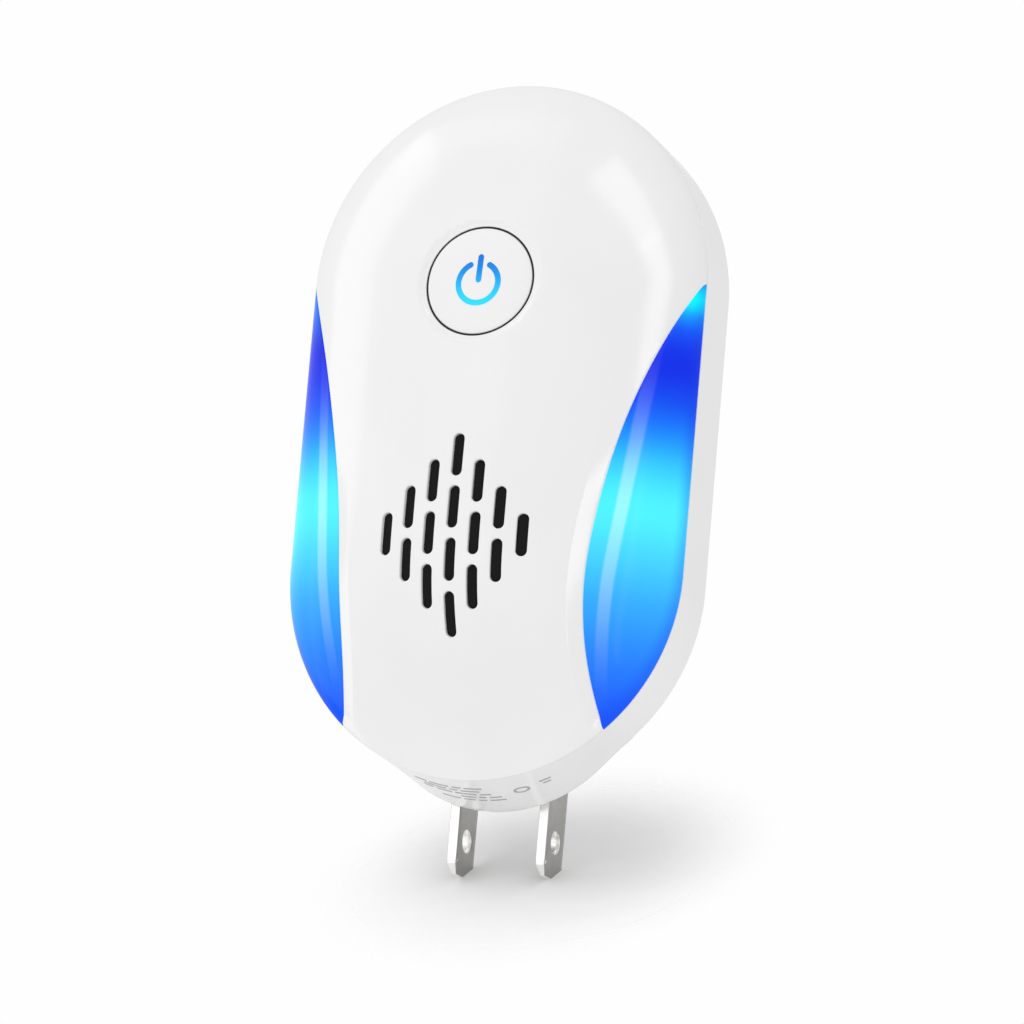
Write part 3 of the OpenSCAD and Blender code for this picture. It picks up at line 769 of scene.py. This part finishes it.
def grille_cloth():
    """Dust cloth behind the grille, pressed up into every slot."""
    def reach(p):
        """Distance from the middle of the grille."""
        return np.hypot(p[:, 0], p[:, 1] - GRILLE_Z)

    around = CLOTH_R + 0.4
    halfway = sum(CLOTH_STEP) / 2
    lines = [(slot_loop(x, z, -inset), True) for x, z in slot_centres() for inset in CLOTH_STEP]
    lines.append((circle(0, GRILLE_Z, CLOTH_R, 96), True))
    grid = hex_grid((-around, GRILLE_Z - around), (around, GRILLE_Z + around), 0.9)
    grid = grid[(reach(grid) < CLOTH_R - 0.5) & (np.abs(from_slots(grid) + halfway) > 0.2)]
    flat, tris, _ = triangles(grid, lines, lambda c: reach(c) < CLOTH_R)
    crown = crown_height(flat)
    face = np.where(from_slots(flat) < -halfway, crown - CLOTH_DEPTH, crown - WALL - CLOTH_GAP)
    outer = np.stack([flat[:, 0], PART_Y - face, flat[:, 1]], 1)
    inner = np.stack([flat[:, 0], PART_Y - crown + WALL + CLOTH_BACK, flat[:, 1]], 1)
    return finished("dust_cloth", np.vstack([outer, inner]), skins(tris, len(flat)), 40)


def on_chin(s, t):
    """Point of the rim's wall under the chin: s across from the middle, t from front to back."""
    index = np.abs(s) / CHIN_R * ARC / (math.pi / 2)
    ends = [np.stack([np.interp(index, np.arange(ARC + 1), path[:, i]) for i in range(2)], -1)
            for path in (half_outline(R)[:ARC + 1], back_half(REAR_R, CHIN_R, ARC + 1))]
    xz = ends[0] + (ends[1] - ends[0]) * t[..., None]
    y = PART_Y + (RIM_D - RIM_EDGE) * t
    return np.stack([np.where(s < 0, -xz[..., 0], xz[..., 0]), y, xz[..., 1]], -1)


def chin_print():
    """Grey rating print under the chin, kept to plain bars and an open ring."""
    verts, faces = [], []

    def lay(s, t, closed):
        """Lays a thin closed patch on the chin, over a grid of places across and back."""
        rows, columns = s.shape
        base, count = sum(len(v) for v in verts), rows * columns
        place = on_chin(s, t)
        across = on_chin(s + 0.01, t) - on_chin(s - 0.01, t)
        back = on_chin(s, np.minimum(t + 0.01, 1)) - on_chin(s, t - 0.01)
        out = np.cross(back, across)
        out /= np.linalg.norm(out, axis=-1)[..., None]
        out = np.where(out[..., 2:] > 0, -out, out)
        verts.append((place + out * INK_PROUD).reshape(-1, 3))
        verts.append((place - out * INK_SUNK).reshape(-1, 3))
        last = columns if closed else columns - 1
        for i in range(rows - 1):
            for j in range(last):
                near, far = base + i * columns, base + (i + 1) * columns
                k = (j + 1) % columns
                quad = [near + j, near + k, far + k, far + j]
                faces.append(quad)
                faces.append([v + count for v in quad[::-1]])
        end = (rows - 1) * columns
        edges = [(base + j, base + (j + 1) % columns) for j in range(last)]
        edges += [(b + end, a + end) for a, b in edges]
        if not closed:
            first = [(base + (i + 1) * columns, base + i * columns) for i in range(rows - 1)]
            edges += first + [(b + columns - 1, a + columns - 1) for a, b in first]
        for a, b in edges:
            faces.append([b, a, a + count, b + count])

    # Rows of bars: where each row starts across the chin, and its bars' lengths.
    rows = ((-6.4, (1.2, 2.0, 0.9, 1.8)), (-5.6, (2.3, 0.8, 1.9)), (-5.9, (1.0, 1.6, 2.2, 1.1)),
            (-2.2, (1.5, 0.7, 1.2)), (-4.4, (1.9, 1.2, 0.8, 1.6)))
    bars = []
    for row, (start, lengths) in enumerate(rows):
        low = FIRST_T + ROW_T * row
        for length in lengths:
            bars.append((start, start + length, low, low + BAR_T))
            start += length + BAR_GAP
    # Two short bars beyond the ring.
    bars += [(6.2, 7.4, 0.36, 0.39), (6.4, 7.2, 0.44, 0.47)]
    for s0, s1, t0, t1 in bars:
        lay(*np.meshgrid(np.linspace(s0, s1, 14), np.linspace(t0, t1, 3)), False)

    # The ring: its middle, and its outer and inner radius.
    turn = np.linspace(0, 2 * math.pi, 40, endpoint=False)
    radius = np.array([0.85, 0.58])[:, None]
    lay(4.2 + radius * np.cos(turn), 0.45 + radius * np.sin(turn) / RIM_D, True)

    piece = finished("chin_print", np.vstack(verts), faces, 60)
    made = bmesh.new()
    made.from_mesh(piece.data)
    bmesh.ops.recalc_face_normals(made, faces=made.faces)
    made.to_mesh(piece.data)
    made.free()
    return piece


# ---------------------------------------------------------------- making the pieces

front = front_shell()
lens_left = side_lens("lens_glow_left", -1)
lens_right = side_lens("lens_glow_right", 1)
rear = closed_rear("rear_cover")
key = button_cap()
seal = button_ring()
mark = icon_mark()
cloth = grille_cloth()
blade_l = blade("plug_blade_left", "blade_left")
blade_r = blade("plug_blade_right", "blade_right")
rating = chin_print()

for piece, body, material_slot, replaced in (
        (front, "housing", "case_white", "front_shell"),
        (rear, "housing", "case_white", "rear_shell"),
        (lens_left, "housing", "lens_blue", "lens_left"),
        (lens_right, "housing", "lens_blue", "lens_right"),
        (key, "button", "case_white", "button_cap"),
        (seal, "button", "black_rubber", "button_ring"),
        (mark, "button", "icon_blue", "power_icon"),
        (cloth, "housing", "black_cloth", "grille_cloth"),
        (blade_l, "plug", "blade_nickel", "blade_left"),
        (blade_r, "plug", "blade_nickel", "blade_right"),
        (rating, "housing", "grey_plastic", None)):
    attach(piece, body)
    if replaced:
        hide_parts(replaced)


# ---------------------------------------------------------------- materials

def colour(value):
    """sRGB hex value as linear RGBA."""
    channels = [int(value[i:i + 2], 16) / 255 for i in (1, 3, 5)]
    return [c / 12.92 if c <= 0.04045 else ((c + 0.055) / 1.055) ** 2.4 for c in channels] + [1]


def per_mm(size):
    """Texture scale whose features are size millimetres apart."""
    return 1 / (size * MM)


# Real sizes of the surfaces' patterns, in millimetres.
FLOW, MOULD_GRAIN = 14, 0.35    # drift of tone in moulded plastic, and the mould's own grain
WEAR, DRAWN_LINE = 3, 0.3       # patches of wear on metal, and its drawn or rolled lines
PLATED_LINE = 0.25              # rolled lines that show through the blades' plating
THREAD = 0.42                   # thread spacing of the grille cloth
DRAWN_OUT = 0.06                # share that shrinks a pattern along Z, which draws it out there
CLOUD, RIPPLE = 9, 2.5          # drift of the light in a lens, and the ripple of a lens's face
DRIFT = 1.2                     # how far the drift moves a lens's bands of colour up and down
PAPER = 5                       # drift of tone in the paper below


def add(tree, kind, inputs=None, **settings):
    """Adds a node with its settings; inputs gives a value or another node's socket per socket."""
    node = tree.nodes.new(kind)
    for name, value in settings.items():
        setattr(node, name, value)
    for name, value in (inputs or {}).items():
        if isinstance(value, bpy.types.NodeSocket):
            tree.links.new(value, node.inputs[name])
        else:
            node.inputs[name].default_value = value
    return node


def new_material(name, **sockets):
    """Material of one shader, with its sockets set. Returns the material, tree and shader."""
    material = bpy.data.materials.new(name)
    material.use_nodes = True
    tree = material.node_tree
    tree.nodes.clear()
    shader = add(tree, "ShaderNodeBsdfPrincipled",
                 {key.replace("_", " ").title().replace("Ior", "IOR"): value
                  for key, value in sockets.items()})
    add(tree, "ShaderNodeOutputMaterial", {"Surface": shader.outputs[0]})
    return material, tree, shader


def varied(tree, shader, place, low, high, size):
    """Tone that drifts between two colours over patches of size millimetres."""
    noise = add(tree, "ShaderNodeTexNoise", {"Vector": place, "Scale": per_mm(size),
                                             "Detail": 4.0})
    ramp = add(tree, "ShaderNodeValToRGB", {"Fac": noise.outputs["Fac"]})
    ramp.color_ramp.elements[0].position, ramp.color_ramp.elements[1].position = 0.35, 0.65
    ramp.color_ramp.elements[0].color = colour(low)
    ramp.color_ramp.elements[1].color = colour(high)
    tree.links.new(ramp.outputs["Color"], shader.inputs["Base Color"])
    return noise


def ranged(tree, shader, source, socket, low, high):
    """Feeds a texture's strength into a shader socket, between two values."""
    span = add(tree, "ShaderNodeMapRange", {"Value": source, "From Min": 0.3, "From Max": 0.7,
                                            "To Min": low, "To Max": high})
    tree.links.new(span.outputs["Result"], shader.inputs[socket])


def bumped(tree, shader, height, depth, strength):
    """Relief of depth millimetres from a texture's strength."""
    bump = add(tree, "ShaderNodeBump", {"Height": height, "Distance": depth * MM,
                                        "Strength": strength})
    tree.links.new(bump.outputs["Normal"], shader.inputs["Normal"])


def object_place(tree):
    """Place on the piece, in metres, which stays with it when it moves."""
    return add(tree, "ShaderNodeTexCoord").outputs["Object"]


def moulded(name, low, high, rough, grain=MOULD_GRAIN, depth=0.004, **sockets):
    """Injection-moulded plastic: even tone, fine texture from the mould, slight gloss drift."""
    material, tree, shader = new_material(name, **sockets)
    place = object_place(tree)
    patches = varied(tree, shader, place, low, high, FLOW)
    ranged(tree, shader, patches.outputs["Fac"], "Roughness", *rough)
    fine = add(tree, "ShaderNodeTexNoise", {"Vector": place, "Scale": per_mm(grain),
                                            "Detail": 3.0})
    bumped(tree, shader, fine.outputs["Fac"], depth, 0.5)
    return material


def lined(tree, shader, place, spacing, rough, strength, along=DRAWN_OUT):
    """Fine lines along Z, in gloss and in relief."""
    stretched = add(tree, "ShaderNodeMapping", {"Vector": place, "Scale": (1, 1, along)})
    lines = add(tree, "ShaderNodeTexNoise", {"Vector": stretched.outputs[0],
                                             "Scale": per_mm(spacing), "Detail": 5.0})
    ranged(tree, shader, lines.outputs["Fac"], "Roughness", *rough)
    bumped(tree, shader, lines.outputs["Fac"], 0.01, strength)


def metal(name, low, high, rough, along=DRAWN_OUT):
    """Rolled, drawn or plated metal: tone that drifts a little, and fine lines."""
    material, tree, shader = new_material(name, metallic=1.0)
    place = object_place(tree)
    varied(tree, shader, place, low, high, WEAR)
    lined(tree, shader, place, DRAWN_LINE, rough, 0.4, along)
    return material


# Painted reflection of a tall strip light on each lens, fixed on the lens as a pale band in the
# emission.
REFLECTION_X, REFLECTION_LEAN = 22.6, 0.1066   # distance from the middle, and its gain per millimetre up
REFLECTION_CORE, REFLECTION_W = 0.55, 1.0      # half width of its even part, and of all of it
REFLECTION_LOW, REFLECTION_HIGH = -38.0, 13.0
REFLECTION_FADE_LOW, REFLECTION_FADE_HIGH = 16, 18
REAR_DIM, REAR_EDGE = 2.4, 0.2   # a lens darkens between these distances from the parting line


def painted_reflection_strip(tree, split, glow):
    """Adds a painted reflection of a strip light: a pale band down a lens that fades at both ends.
    """
    side = add(tree, "ShaderNodeMath", {0: split.outputs["X"]}, operation="ABSOLUTE")
    line = add(tree, "ShaderNodeMath", {0: split.outputs["Z"], 1: REFLECTION_LEAN, 2: REFLECTION_X * MM},
               operation="MULTIPLY_ADD")
    away = add(tree, "ShaderNodeMath", {0: side.outputs[0], 1: line.outputs[0]},
               operation="SUBTRACT")
    away = add(tree, "ShaderNodeMath", {0: away.outputs[0]}, operation="ABSOLUTE")
    across = add(tree, "ShaderNodeMapRange", {"Value": away.outputs[0],
                                              "From Min": REFLECTION_CORE * MM,
                                              "From Max": REFLECTION_W * MM, "To Min": 1.0,
                                              "To Max": 0.0}, interpolation_type="SMOOTHSTEP")
    low = add(tree, "ShaderNodeMapRange", {"Value": split.outputs["Z"], "From Min": REFLECTION_LOW * MM,
                                           "From Max": (REFLECTION_LOW + REFLECTION_FADE_LOW) * MM},
              interpolation_type="SMOOTHSTEP")
    high = add(tree, "ShaderNodeMapRange", {"Value": split.outputs["Z"],
                                            "From Min": (REFLECTION_HIGH - REFLECTION_FADE_HIGH) * MM,
                                            "From Max": REFLECTION_HIGH * MM, "To Min": 1.0,
                                            "To Max": 0.0}, interpolation_type="SMOOTHSTEP")
    share = add(tree, "ShaderNodeMath", {0: low.outputs[0], 1: high.outputs[0]},
                operation="MULTIPLY")
    share = add(tree, "ShaderNodeMath", {0: share.outputs[0], 1: across.outputs[0]},
                operation="MULTIPLY")
    # The painted reflection shows as far as the lens round it glows.
    parts = add(tree, "ShaderNodeSeparateColor", {"Color": glow})
    lit = add(tree, "ShaderNodeMath", {0: parts.outputs["Green"], 1: 0.26, 2: 0.06},
              operation="MULTIPLY_ADD")
    share = add(tree, "ShaderNodeMath", {0: share.outputs[0], 1: lit.outputs[0]},
                operation="MULTIPLY")
    mixed = add(tree, "ShaderNodeMix", {"Factor": share.outputs[0], 6: glow,
                                        7: colour("#ffffff")}, data_type="RGBA")
    return mixed.outputs[2]


def backlit(name, stops, strength, dimming_and_painted_reflection=True):
    """Clear tinted plastic lit from behind: its glow changes with height.

    stops gives the glow's colour at each height in millimetres, from the bottom up.
    """
    material, tree, shader = new_material(
        name, roughness=0.14, ior=1.49, specular_ior_level=0.07, emission_strength=strength)
    place = object_place(tree)
    split = add(tree, "ShaderNodeSeparateXYZ", {"Vector": place})
    cloud = add(tree, "ShaderNodeTexNoise", {"Vector": place, "Scale": per_mm(CLOUD),
                                             "Detail": 2.0})
    drift = add(tree, "ShaderNodeMath", {0: cloud.outputs["Fac"], 1: DRIFT * MM,
                                         2: -DRIFT / 2 * MM}, operation="MULTIPLY_ADD")
    height = add(tree, "ShaderNodeMath", {0: split.outputs["Z"], 1: drift.outputs[0]},
                 operation="ADD")
    bottom, top = stops[0][0], stops[-1][0]
    span = add(tree, "ShaderNodeMapRange", {"Value": height.outputs[0], "From Min": bottom * MM,
                                            "From Max": top * MM})
    ramp = add(tree, "ShaderNodeValToRGB", {"Fac": span.outputs["Result"]})
    ramp.color_ramp.interpolation = "B_SPLINE"
    while len(ramp.color_ramp.elements) < len(stops):
        ramp.color_ramp.elements.new(0.5)
    for element, (z, value) in zip(ramp.color_ramp.elements, stops):
        element.position = (z - bottom) / (top - bottom)
        element.color = colour(value)
    glow = ramp.outputs["Color"]
    if dimming_and_painted_reflection:
        # Less light reaches a lens's edge at the parting line.
        rear = add(tree, "ShaderNodeMapRange", {"Value": split.outputs["Y"],
                                                "From Min": (PART_Y - REAR_DIM) * MM,
                                                "From Max": (PART_Y - REAR_EDGE) * MM,
                                                "To Max": 0.45},
                   interpolation_type="SMOOTHSTEP")
        dimmed = add(tree, "ShaderNodeMix", {"Factor": rear.outputs[0], 6: glow,
                                             7: colour("#0f3cd2")}, data_type="RGBA")
        # Painted reflection: a pale band mixed into the glow's colour.
        glow = painted_reflection_strip(tree, split, dimmed.outputs[2])
    tree.links.new(glow, shader.inputs["Emission Color"])
    tinted = add(tree, "ShaderNodeMix", {"Factor": 0.85, 6: ramp.outputs["Color"],
                                         7: colour("#000614")}, data_type="RGBA")
    tree.links.new(tinted.outputs[2], shader.inputs["Base Color"])
    fine = add(tree, "ShaderNodeTexNoise", {"Vector": place, "Scale": per_mm(RIPPLE)})
    bumped(tree, shader, fine.outputs["Fac"], 0.003, 0.3)
    return material


# Gloss ABS, polished mould: clean white, with a mirror-like sheen that softens in patches.
case_white = moulded("Glossy white ABS, polished mould", "#ebebeb", "#ededed", (0.12, 0.15),
                     ior=1.54, depth=0.0015)
# Satin ABS: the same white, but its reflections are spread out, so the key looks even.
key_white = moulded("Satin white ABS key", "#ebebeb", "#ededed", (0.26, 0.32), ior=1.54,
                    depth=0.002)
# Silicone rubber: matt black with a faint dusty bloom.
seal_black = moulded("Black silicone rubber", "#0c0c0d", "#141415", (0.6, 0.75), ior=1.41)
# Lenses: deep blue at the ends, bright cyan where the lights sit, and a painted reflection of a
# strip light down each as a pale band.
GLOW = [(-41, "#1450f0"), (-34, "#1e64fa"), (-24, "#32a5ff"), (-17, "#46d2ff"),
        (-11, "#50f5ff"), (-5, "#28b4fa"), (0, "#1464f0"), (5, "#0f32e1"), (9, "#0f23d7")]
lens_light_right = backlit("Blue backlit acrylic, right",
                           GLOW + [(13, "#1446eb"), (15.4, "#148cf5"),
                                   (17.2, "#00faff"), (18.6, "#00f5ff"), (20.4, "#1450e6")], 1.0)
lens_light_left = backlit("Blue backlit acrylic, left",
                          GLOW + [(12, "#0f2dd2"), (16, "#146ee6"), (20, "#1e82e6")], 1.0)
# Light pipe of the standby mark: sky blue at the top, cyan below.
mark_glow = backlit("Blue backlit polycarbonate mark",
                    [(14, "#37e1ff"), (16.5, "#30ccfa"), (19, "#2389e4"), (21.6, "#1f76dc")], 0.95,
                    dimming_and_painted_reflection=False)
# Pad print: flat mid grey that stays matt on the glossy rim.
rating_grey = moulded("Grey pad-printed ink", "#a2a2a4", "#aeaeb0", (0.5, 0.6), depth=0.002)


def plated_strip():
    """Nickel-plated strip: satin rolled faces, and a painted highlight that makes the edges to
    front and back near white.
    """
    material, tree, shader = new_material("Nickel-plated brass strip", metallic=1.0)
    place = object_place(tree)
    way = add(tree, "ShaderNodeNewGeometry").outputs["Normal"]
    split = add(tree, "ShaderNodeSeparateXYZ", {"Vector": way})
    cheek = add(tree, "ShaderNodeMath", {0: split.outputs["X"]}, operation="ABSOLUTE")
    face = add(tree, "ShaderNodeMapRange", {"Value": cheek.outputs[0], "From Min": 0.3,
                                            "From Max": 0.9}, interpolation_type="SMOOTHSTEP")
    worn = add(tree, "ShaderNodeTexNoise", {"Vector": place, "Scale": per_mm(WEAR)})
    satin = add(tree, "ShaderNodeMix", {"Factor": worn.outputs["Fac"], 6: colour("#9a9996"),
                                        7: colour("#b2b0ad")}, data_type="RGBA")
    # Painted highlight: faces that don't face sideways get a near-white base colour in place of the
    # bright reflection along the edges.
    both = add(tree, "ShaderNodeMix", {"Factor": face.outputs[0], 6: colour("#fbfaf7"),
                                       7: satin.outputs[2]}, data_type="RGBA")
    tree.links.new(both.outputs[2], shader.inputs["Base Color"])
    lined(tree, shader, place, PLATED_LINE, (0.14, 0.28), 0.35)
    return material


nickel = plated_strip()


def woven():
    """Polyester grille cloth: threads over and under each other, near black and dull."""
    material, tree, shader = new_material("Black polyester grille cloth", roughness=0.8,
                                          specular_ior_level=0.2)
    place = object_place(tree)
    split = add(tree, "ShaderNodeSeparateXYZ", {"Vector": place})
    waves = []
    for axis in ("X", "Z"):
        turns = add(tree, "ShaderNodeMath", {0: split.outputs[axis],
                                             1: 2 * math.pi * per_mm(THREAD)},
                    operation="MULTIPLY")
        waves.append(add(tree, "ShaderNodeMath", {0: turns.outputs[0]}, operation="SINE"))
    weave = add(tree, "ShaderNodeMath", {0: waves[0].outputs[0], 1: waves[1].outputs[0]},
                operation="MULTIPLY")
    span = add(tree, "ShaderNodeMapRange", {"Value": weave.outputs[0], "From Min": -1.0})
    ramp = add(tree, "ShaderNodeValToRGB", {"Fac": span.outputs["Result"]})
    ramp.color_ramp.elements[0].color = colour("#050505")
    ramp.color_ramp.elements[1].color = colour("#121212")
    tree.links.new(ramp.outputs["Color"], shader.inputs["Base Color"])
    ranged(tree, shader, span.outputs["Result"], "Roughness", 0.7, 0.9)
    bumped(tree, shader, span.outputs["Result"], 0.05, 0.8)
    return material


cloth_black = woven()

# Pieces inside the case or in the plug bay.
# Zinc plate: cool pale grey, soft shine.
steel = metal("Zinc-plated steel", "#b9bcc0", "#c9ccd0", (0.25, 0.4))
# Brass sheet: warm yellow, drawn lines catch the light.
brass = metal("Rolled brass", "#b58a45", "#c79d58", (0.25, 0.4))
# Enamelled wire: reddish brown, with a fine even grain where the turns catch the light.
copper = metal("Enamelled copper winding", "#9a5426", "#b5673a", (0.3, 0.45), 1.0)
# Glass-filled nylon: mid grey, dull, slightly uneven.
grey_part = moulded("Grey glass-filled nylon", "#5f6266", "#6b6e72", (0.45, 0.6))
# Diffusing acrylic: milky white with a soft shine.
white_part = moulded("Milk-white light guide acrylic", "#e4e6e8", "#eef0f2", (0.3, 0.4))
# Plain moulded ABS: the case's white, but less polished.
carrier_white = moulded("White ABS plug carrier", "#e8e8e8", "#ebebeb", (0.3, 0.38))
# Solder mask: deep green lacquer over the coarser weave of the board.
board = moulded("Green solder mask", "#12512f", "#1a6138", (0.3, 0.42), grain=0.8)
# Ferrite: charcoal ceramic, rough to the eye.
ferrite = moulded("Sintered ferrite", "#26272a", "#34363a", (0.6, 0.75), depth=0.02)
# Capacitor box: mustard yellow plastic, half matt.
film = moulded("Yellow polyester film box", "#c9a021", "#d8b13a", (0.35, 0.5))
# Shrunk sleeve: dark blue with a smooth shine.
can = moulded("Blue sleeved aluminium can", "#1c3f8c", "#2950a2", (0.3, 0.42))
# Ceramic: sandy tan, dry and matt.
tan = moulded("Tan ceramic fuse body", "#b59a72", "#c4aa84", (0.5, 0.65))
# Moulded epoxy: near black, matt.
chip_black = moulded("Black epoxy package", "#141517", "#1f2022", (0.55, 0.7))
# PVC sleeves: plain red and black, with a waxy shine.
wire_red = moulded("Red PVC sleeve", "#a31a1a", "#b82a26", (0.35, 0.5))
wire_black = moulded("Black PVC sleeve", "#161616", "#222222", (0.35, 0.5))

for piece, material in (
        (front, case_white), (rear, case_white), (lens_left, lens_light_left),
        (lens_right, lens_light_right), (key, key_white), (seal, seal_black),
        (mark, mark_glow), (cloth, cloth_black), (blade_l, nickel), (blade_r, nickel),
        (rating, rating_grey)):
    piece.data.materials.append(material)

INSIDE = {
    "speaker_frame": grey_part, "piezo_disc": brass, "speaker_cover": grey_part,
    "speaker_wires": wire_red, "circuit_board": board, "switch_body": chip_black,
    "switch_plunger": white_part, "button_light": white_part, "side_lights_left": white_part,
    "side_lights_right": white_part, "light_guide_left": white_part,
    "light_guide_right": white_part, "controller_chip": chip_black, "transformer_core": ferrite,
    "transformer_coil": copper, "film_capacitor": film, "smoothing_capacitor": can,
    "bridge_rectifier": chip_black, "fuse": tan, "contact_left": brass, "contact_right": brass,
    "mains_wire_left": wire_black, "mains_wire_right": wire_black,
    "plug_carrier": carrier_white, "hinge_cap_left": carrier_white,
    "hinge_cap_right": carrier_white, "detent_spring": steel, "case_screws": steel,
    "board_screws": steel, "cap_screws": steel,
}
for node, material in INSIDE.items():
    held = nodes[node].data.materials
    if not len(held):
        held.append(material)
    for i in range(len(held)):
        held[i] = material


# ---------------------------------------------------------------- light and camera

scene = bpy.context.scene
scene.view_settings.view_transform = "Standard"
world = bpy.data.worlds.new("White studio")
scene.world = world
world.use_nodes = True
world.node_tree.nodes.clear()


FRONT_LIGHT, BACK_LIGHT = 1.02, 0.925
BELOW_LIGHT, ABOVE_LIGHT = 1.03, 0.87


def studio_surround(tree):
    """White walls to the camera. Their light is a little stronger from the front and below."""
    way = add(tree, "ShaderNodeTexCoord").outputs["Generated"]
    split = add(tree, "ShaderNodeSeparateXYZ", {"Vector": way})
    front = add(tree, "ShaderNodeMapRange", {"Value": split.outputs["Y"], "From Min": -0.75,
                                             "From Max": 0.25, "To Min": FRONT_LIGHT,
                                             "To Max": BACK_LIGHT},
                interpolation_type="SMOOTHSTEP")
    above = add(tree, "ShaderNodeMapRange", {"Value": split.outputs["Z"], "From Min": -0.9,
                                             "From Max": 0.7, "To Min": BELOW_LIGHT,
                                             "To Max": ABOVE_LIGHT},
                interpolation_type="SMOOTHSTEP")
    light = add(tree, "ShaderNodeMath", {0: front.outputs[0], 1: above.outputs[0]},
                operation="MULTIPLY")
    lit = add(tree, "ShaderNodeBackground", {"Color": colour("#ffffff"),
                                             "Strength": light.outputs[0]})
    seen = add(tree, "ShaderNodeBackground", {"Color": colour("#fefefe")})
    path = add(tree, "ShaderNodeLightPath")
    mixed = add(tree, "ShaderNodeMixShader", {0: path.outputs["Is Camera Ray"],
                                              1: lit.outputs[0], 2: seen.outputs[0]})
    add(tree, "ShaderNodeOutputWorld", {"Surface": mixed.outputs[0]})


studio_surround(world.node_tree)


def softbox(name, at, along, width, height, radiance, glossy=True):
    """Flat light at a point in metres, facing the object, with its width laid along a direction.

    It shows only as a reflection in the gloss, or if not glossy it gives only soft shading.
    """
    data = bpy.data.lights.new(name, "AREA")
    data.shape, data.size, data.size_y = "RECTANGLE", width, height
    data.energy = radiance * math.pi * width * height
    lamp = bpy.data.objects.new(name, data)
    scene.collection.objects.link(lamp)
    back = Vector(at).normalized()
    across = Vector(along)
    across = (across - back * across.dot(back)).normalized()
    turn = Matrix((across, back.cross(across), back)).transposed()
    lamp.matrix_world = Matrix.Translation(at) @ turn.to_4x4()
    lamp.visible_glossy, lamp.visible_diffuse = glossy, not glossy


# Bands of light along the left side, over the top left, round the upper right and down the
# right, and a faint fill from the front.
softbox("left wall light", (-0.62, -0.13, 0.08), (0, -0.1, 1), 1.2, 0.24, 0.95)
softbox("upper left light", (-0.36, -0.24, 0.68), (0.63, -0.36, 0.21), 0.6, 0.12, 0.45)
softbox("upper strip light", (0.24, -0.457, 0.51), (-0.3, 0.075, 0.21), 0.42, 0.13, 1.9)
softbox("right strip light", (0.47, -0.48, 0.29), (0.165, 0.03, -0.225), 0.3, 0.13, 2.3)
softbox("low strip light", (0.43, -0.49, -0.15), (-0.26, -0.045, -0.62), 0.66, 0.09, 2.8)
softbox("front fill light", (-0.37, -0.95, 0.16), (1, 0, 0), 0.5, 0.5, 0.22)
# From the upper left in front, so that the shadow falls to the lower right.
softbox("key light", (-0.62, -0.72, 0.95), (1, 0, 0), 0.9, 0.9, 1.25, False)

FLOOR_X, FLOOR_Y = 34.0, 38.0   # half its width and depth
FLOOR_TILT, FLOOR_LIFT = 33.7, 0.08


def floor_patch():
    """Small pale floor under the blade tips, tilted to face the camera and fading to nothing."""
    rows, columns = 24, 40
    verts = [(0, 0, 0)]
    for i in range(1, rows + 1):
        for j in range(columns):
            a = 2 * math.pi * j / columns
            verts.append((FLOOR_X * i / rows * math.cos(a), FLOOR_Y * i / rows * math.sin(a), 0))
    faces = [(0, 1 + j, 1 + (j + 1) % columns) for j in range(columns)]
    for i in range(rows - 1):
        base = 1 + i * columns
        faces += [(base + j, base + columns + j, base + columns + (j + 1) % columns,
                   base + (j + 1) % columns) for j in range(columns)]
    patch = linked("floor_patch", verts, faces)
    tip_y = (blade_lo[1] + blade_hi[1]) / 2
    patch.matrix_world = (Matrix.Translation(Vector((4, tip_y + 4, blade_lo[2] + 2.4)) * MM)
                          @ Matrix.Rotation(math.radians(FLOOR_TILT), 4, "X"))
    # Matt paper: even white that takes a soft shadow and shows no shine.
    material, tree, shader = new_material("Matt white paper sweep", roughness=0.9,
                                          emission_color=colour("#ffffff"),
                                          emission_strength=FLOOR_LIFT)
    place = object_place(tree)
    varied(tree, shader, place, "#e9e9e9", "#ebebeb", PAPER)
    grown = add(tree, "ShaderNodeMapping", {"Vector": place,
                                            "Scale": (per_mm(FLOOR_X), per_mm(FLOOR_Y), 1)})
    reach = add(tree, "ShaderNodeVectorMath", {0: grown.outputs[0]}, operation="LENGTH")
    fade = add(tree, "ShaderNodeMapRange", {"Value": reach.outputs["Value"], "From Min": 0.35,
                                            "From Max": 0.96, "To Min": 1.0, "To Max": 0.0},
               interpolation_type="SMOOTHSTEP")
    side = add(tree, "ShaderNodeNewGeometry")
    one_side = add(tree, "ShaderNodeMath", {0: 1.0, 1: side.outputs["Backfacing"]},
                   operation="SUBTRACT")
    share = add(tree, "ShaderNodeMath", {0: fade.outputs[0], 1: one_side.outputs[0]},
                operation="MULTIPLY")
    clear = add(tree, "ShaderNodeBsdfTransparent")
    mixed = add(tree, "ShaderNodeMixShader", {0: share.outputs[0], 1: clear.outputs[0],
                                              2: shader.outputs[0]})
    output = next(n for n in tree.nodes if n.type == "OUTPUT_MATERIAL")
    tree.links.new(mixed.outputs[0], output.inputs["Surface"])
    patch.data.materials.append(material)


floor_patch()


CAMERA_AT = (0.51946, -1.27993, -0.28177)
CAMERA_TURN = (101.2796, -4.7662, 21.3276)


def place_camera():
    """Long lens, a little below the object and to its right, rolled a few degrees."""
    data = bpy.data.cameras.new("camera")
    data.lens, data.sensor_width = 368.1, 36
    data.clip_start, data.clip_end = 0.05, 20
    camera = bpy.data.objects.new("camera", data)
    scene.collection.objects.link(camera)
    camera.location = CAMERA_AT
    camera.rotation_euler = [math.radians(a) for a in CAMERA_TURN]
    scene.camera = camera


place_camera()
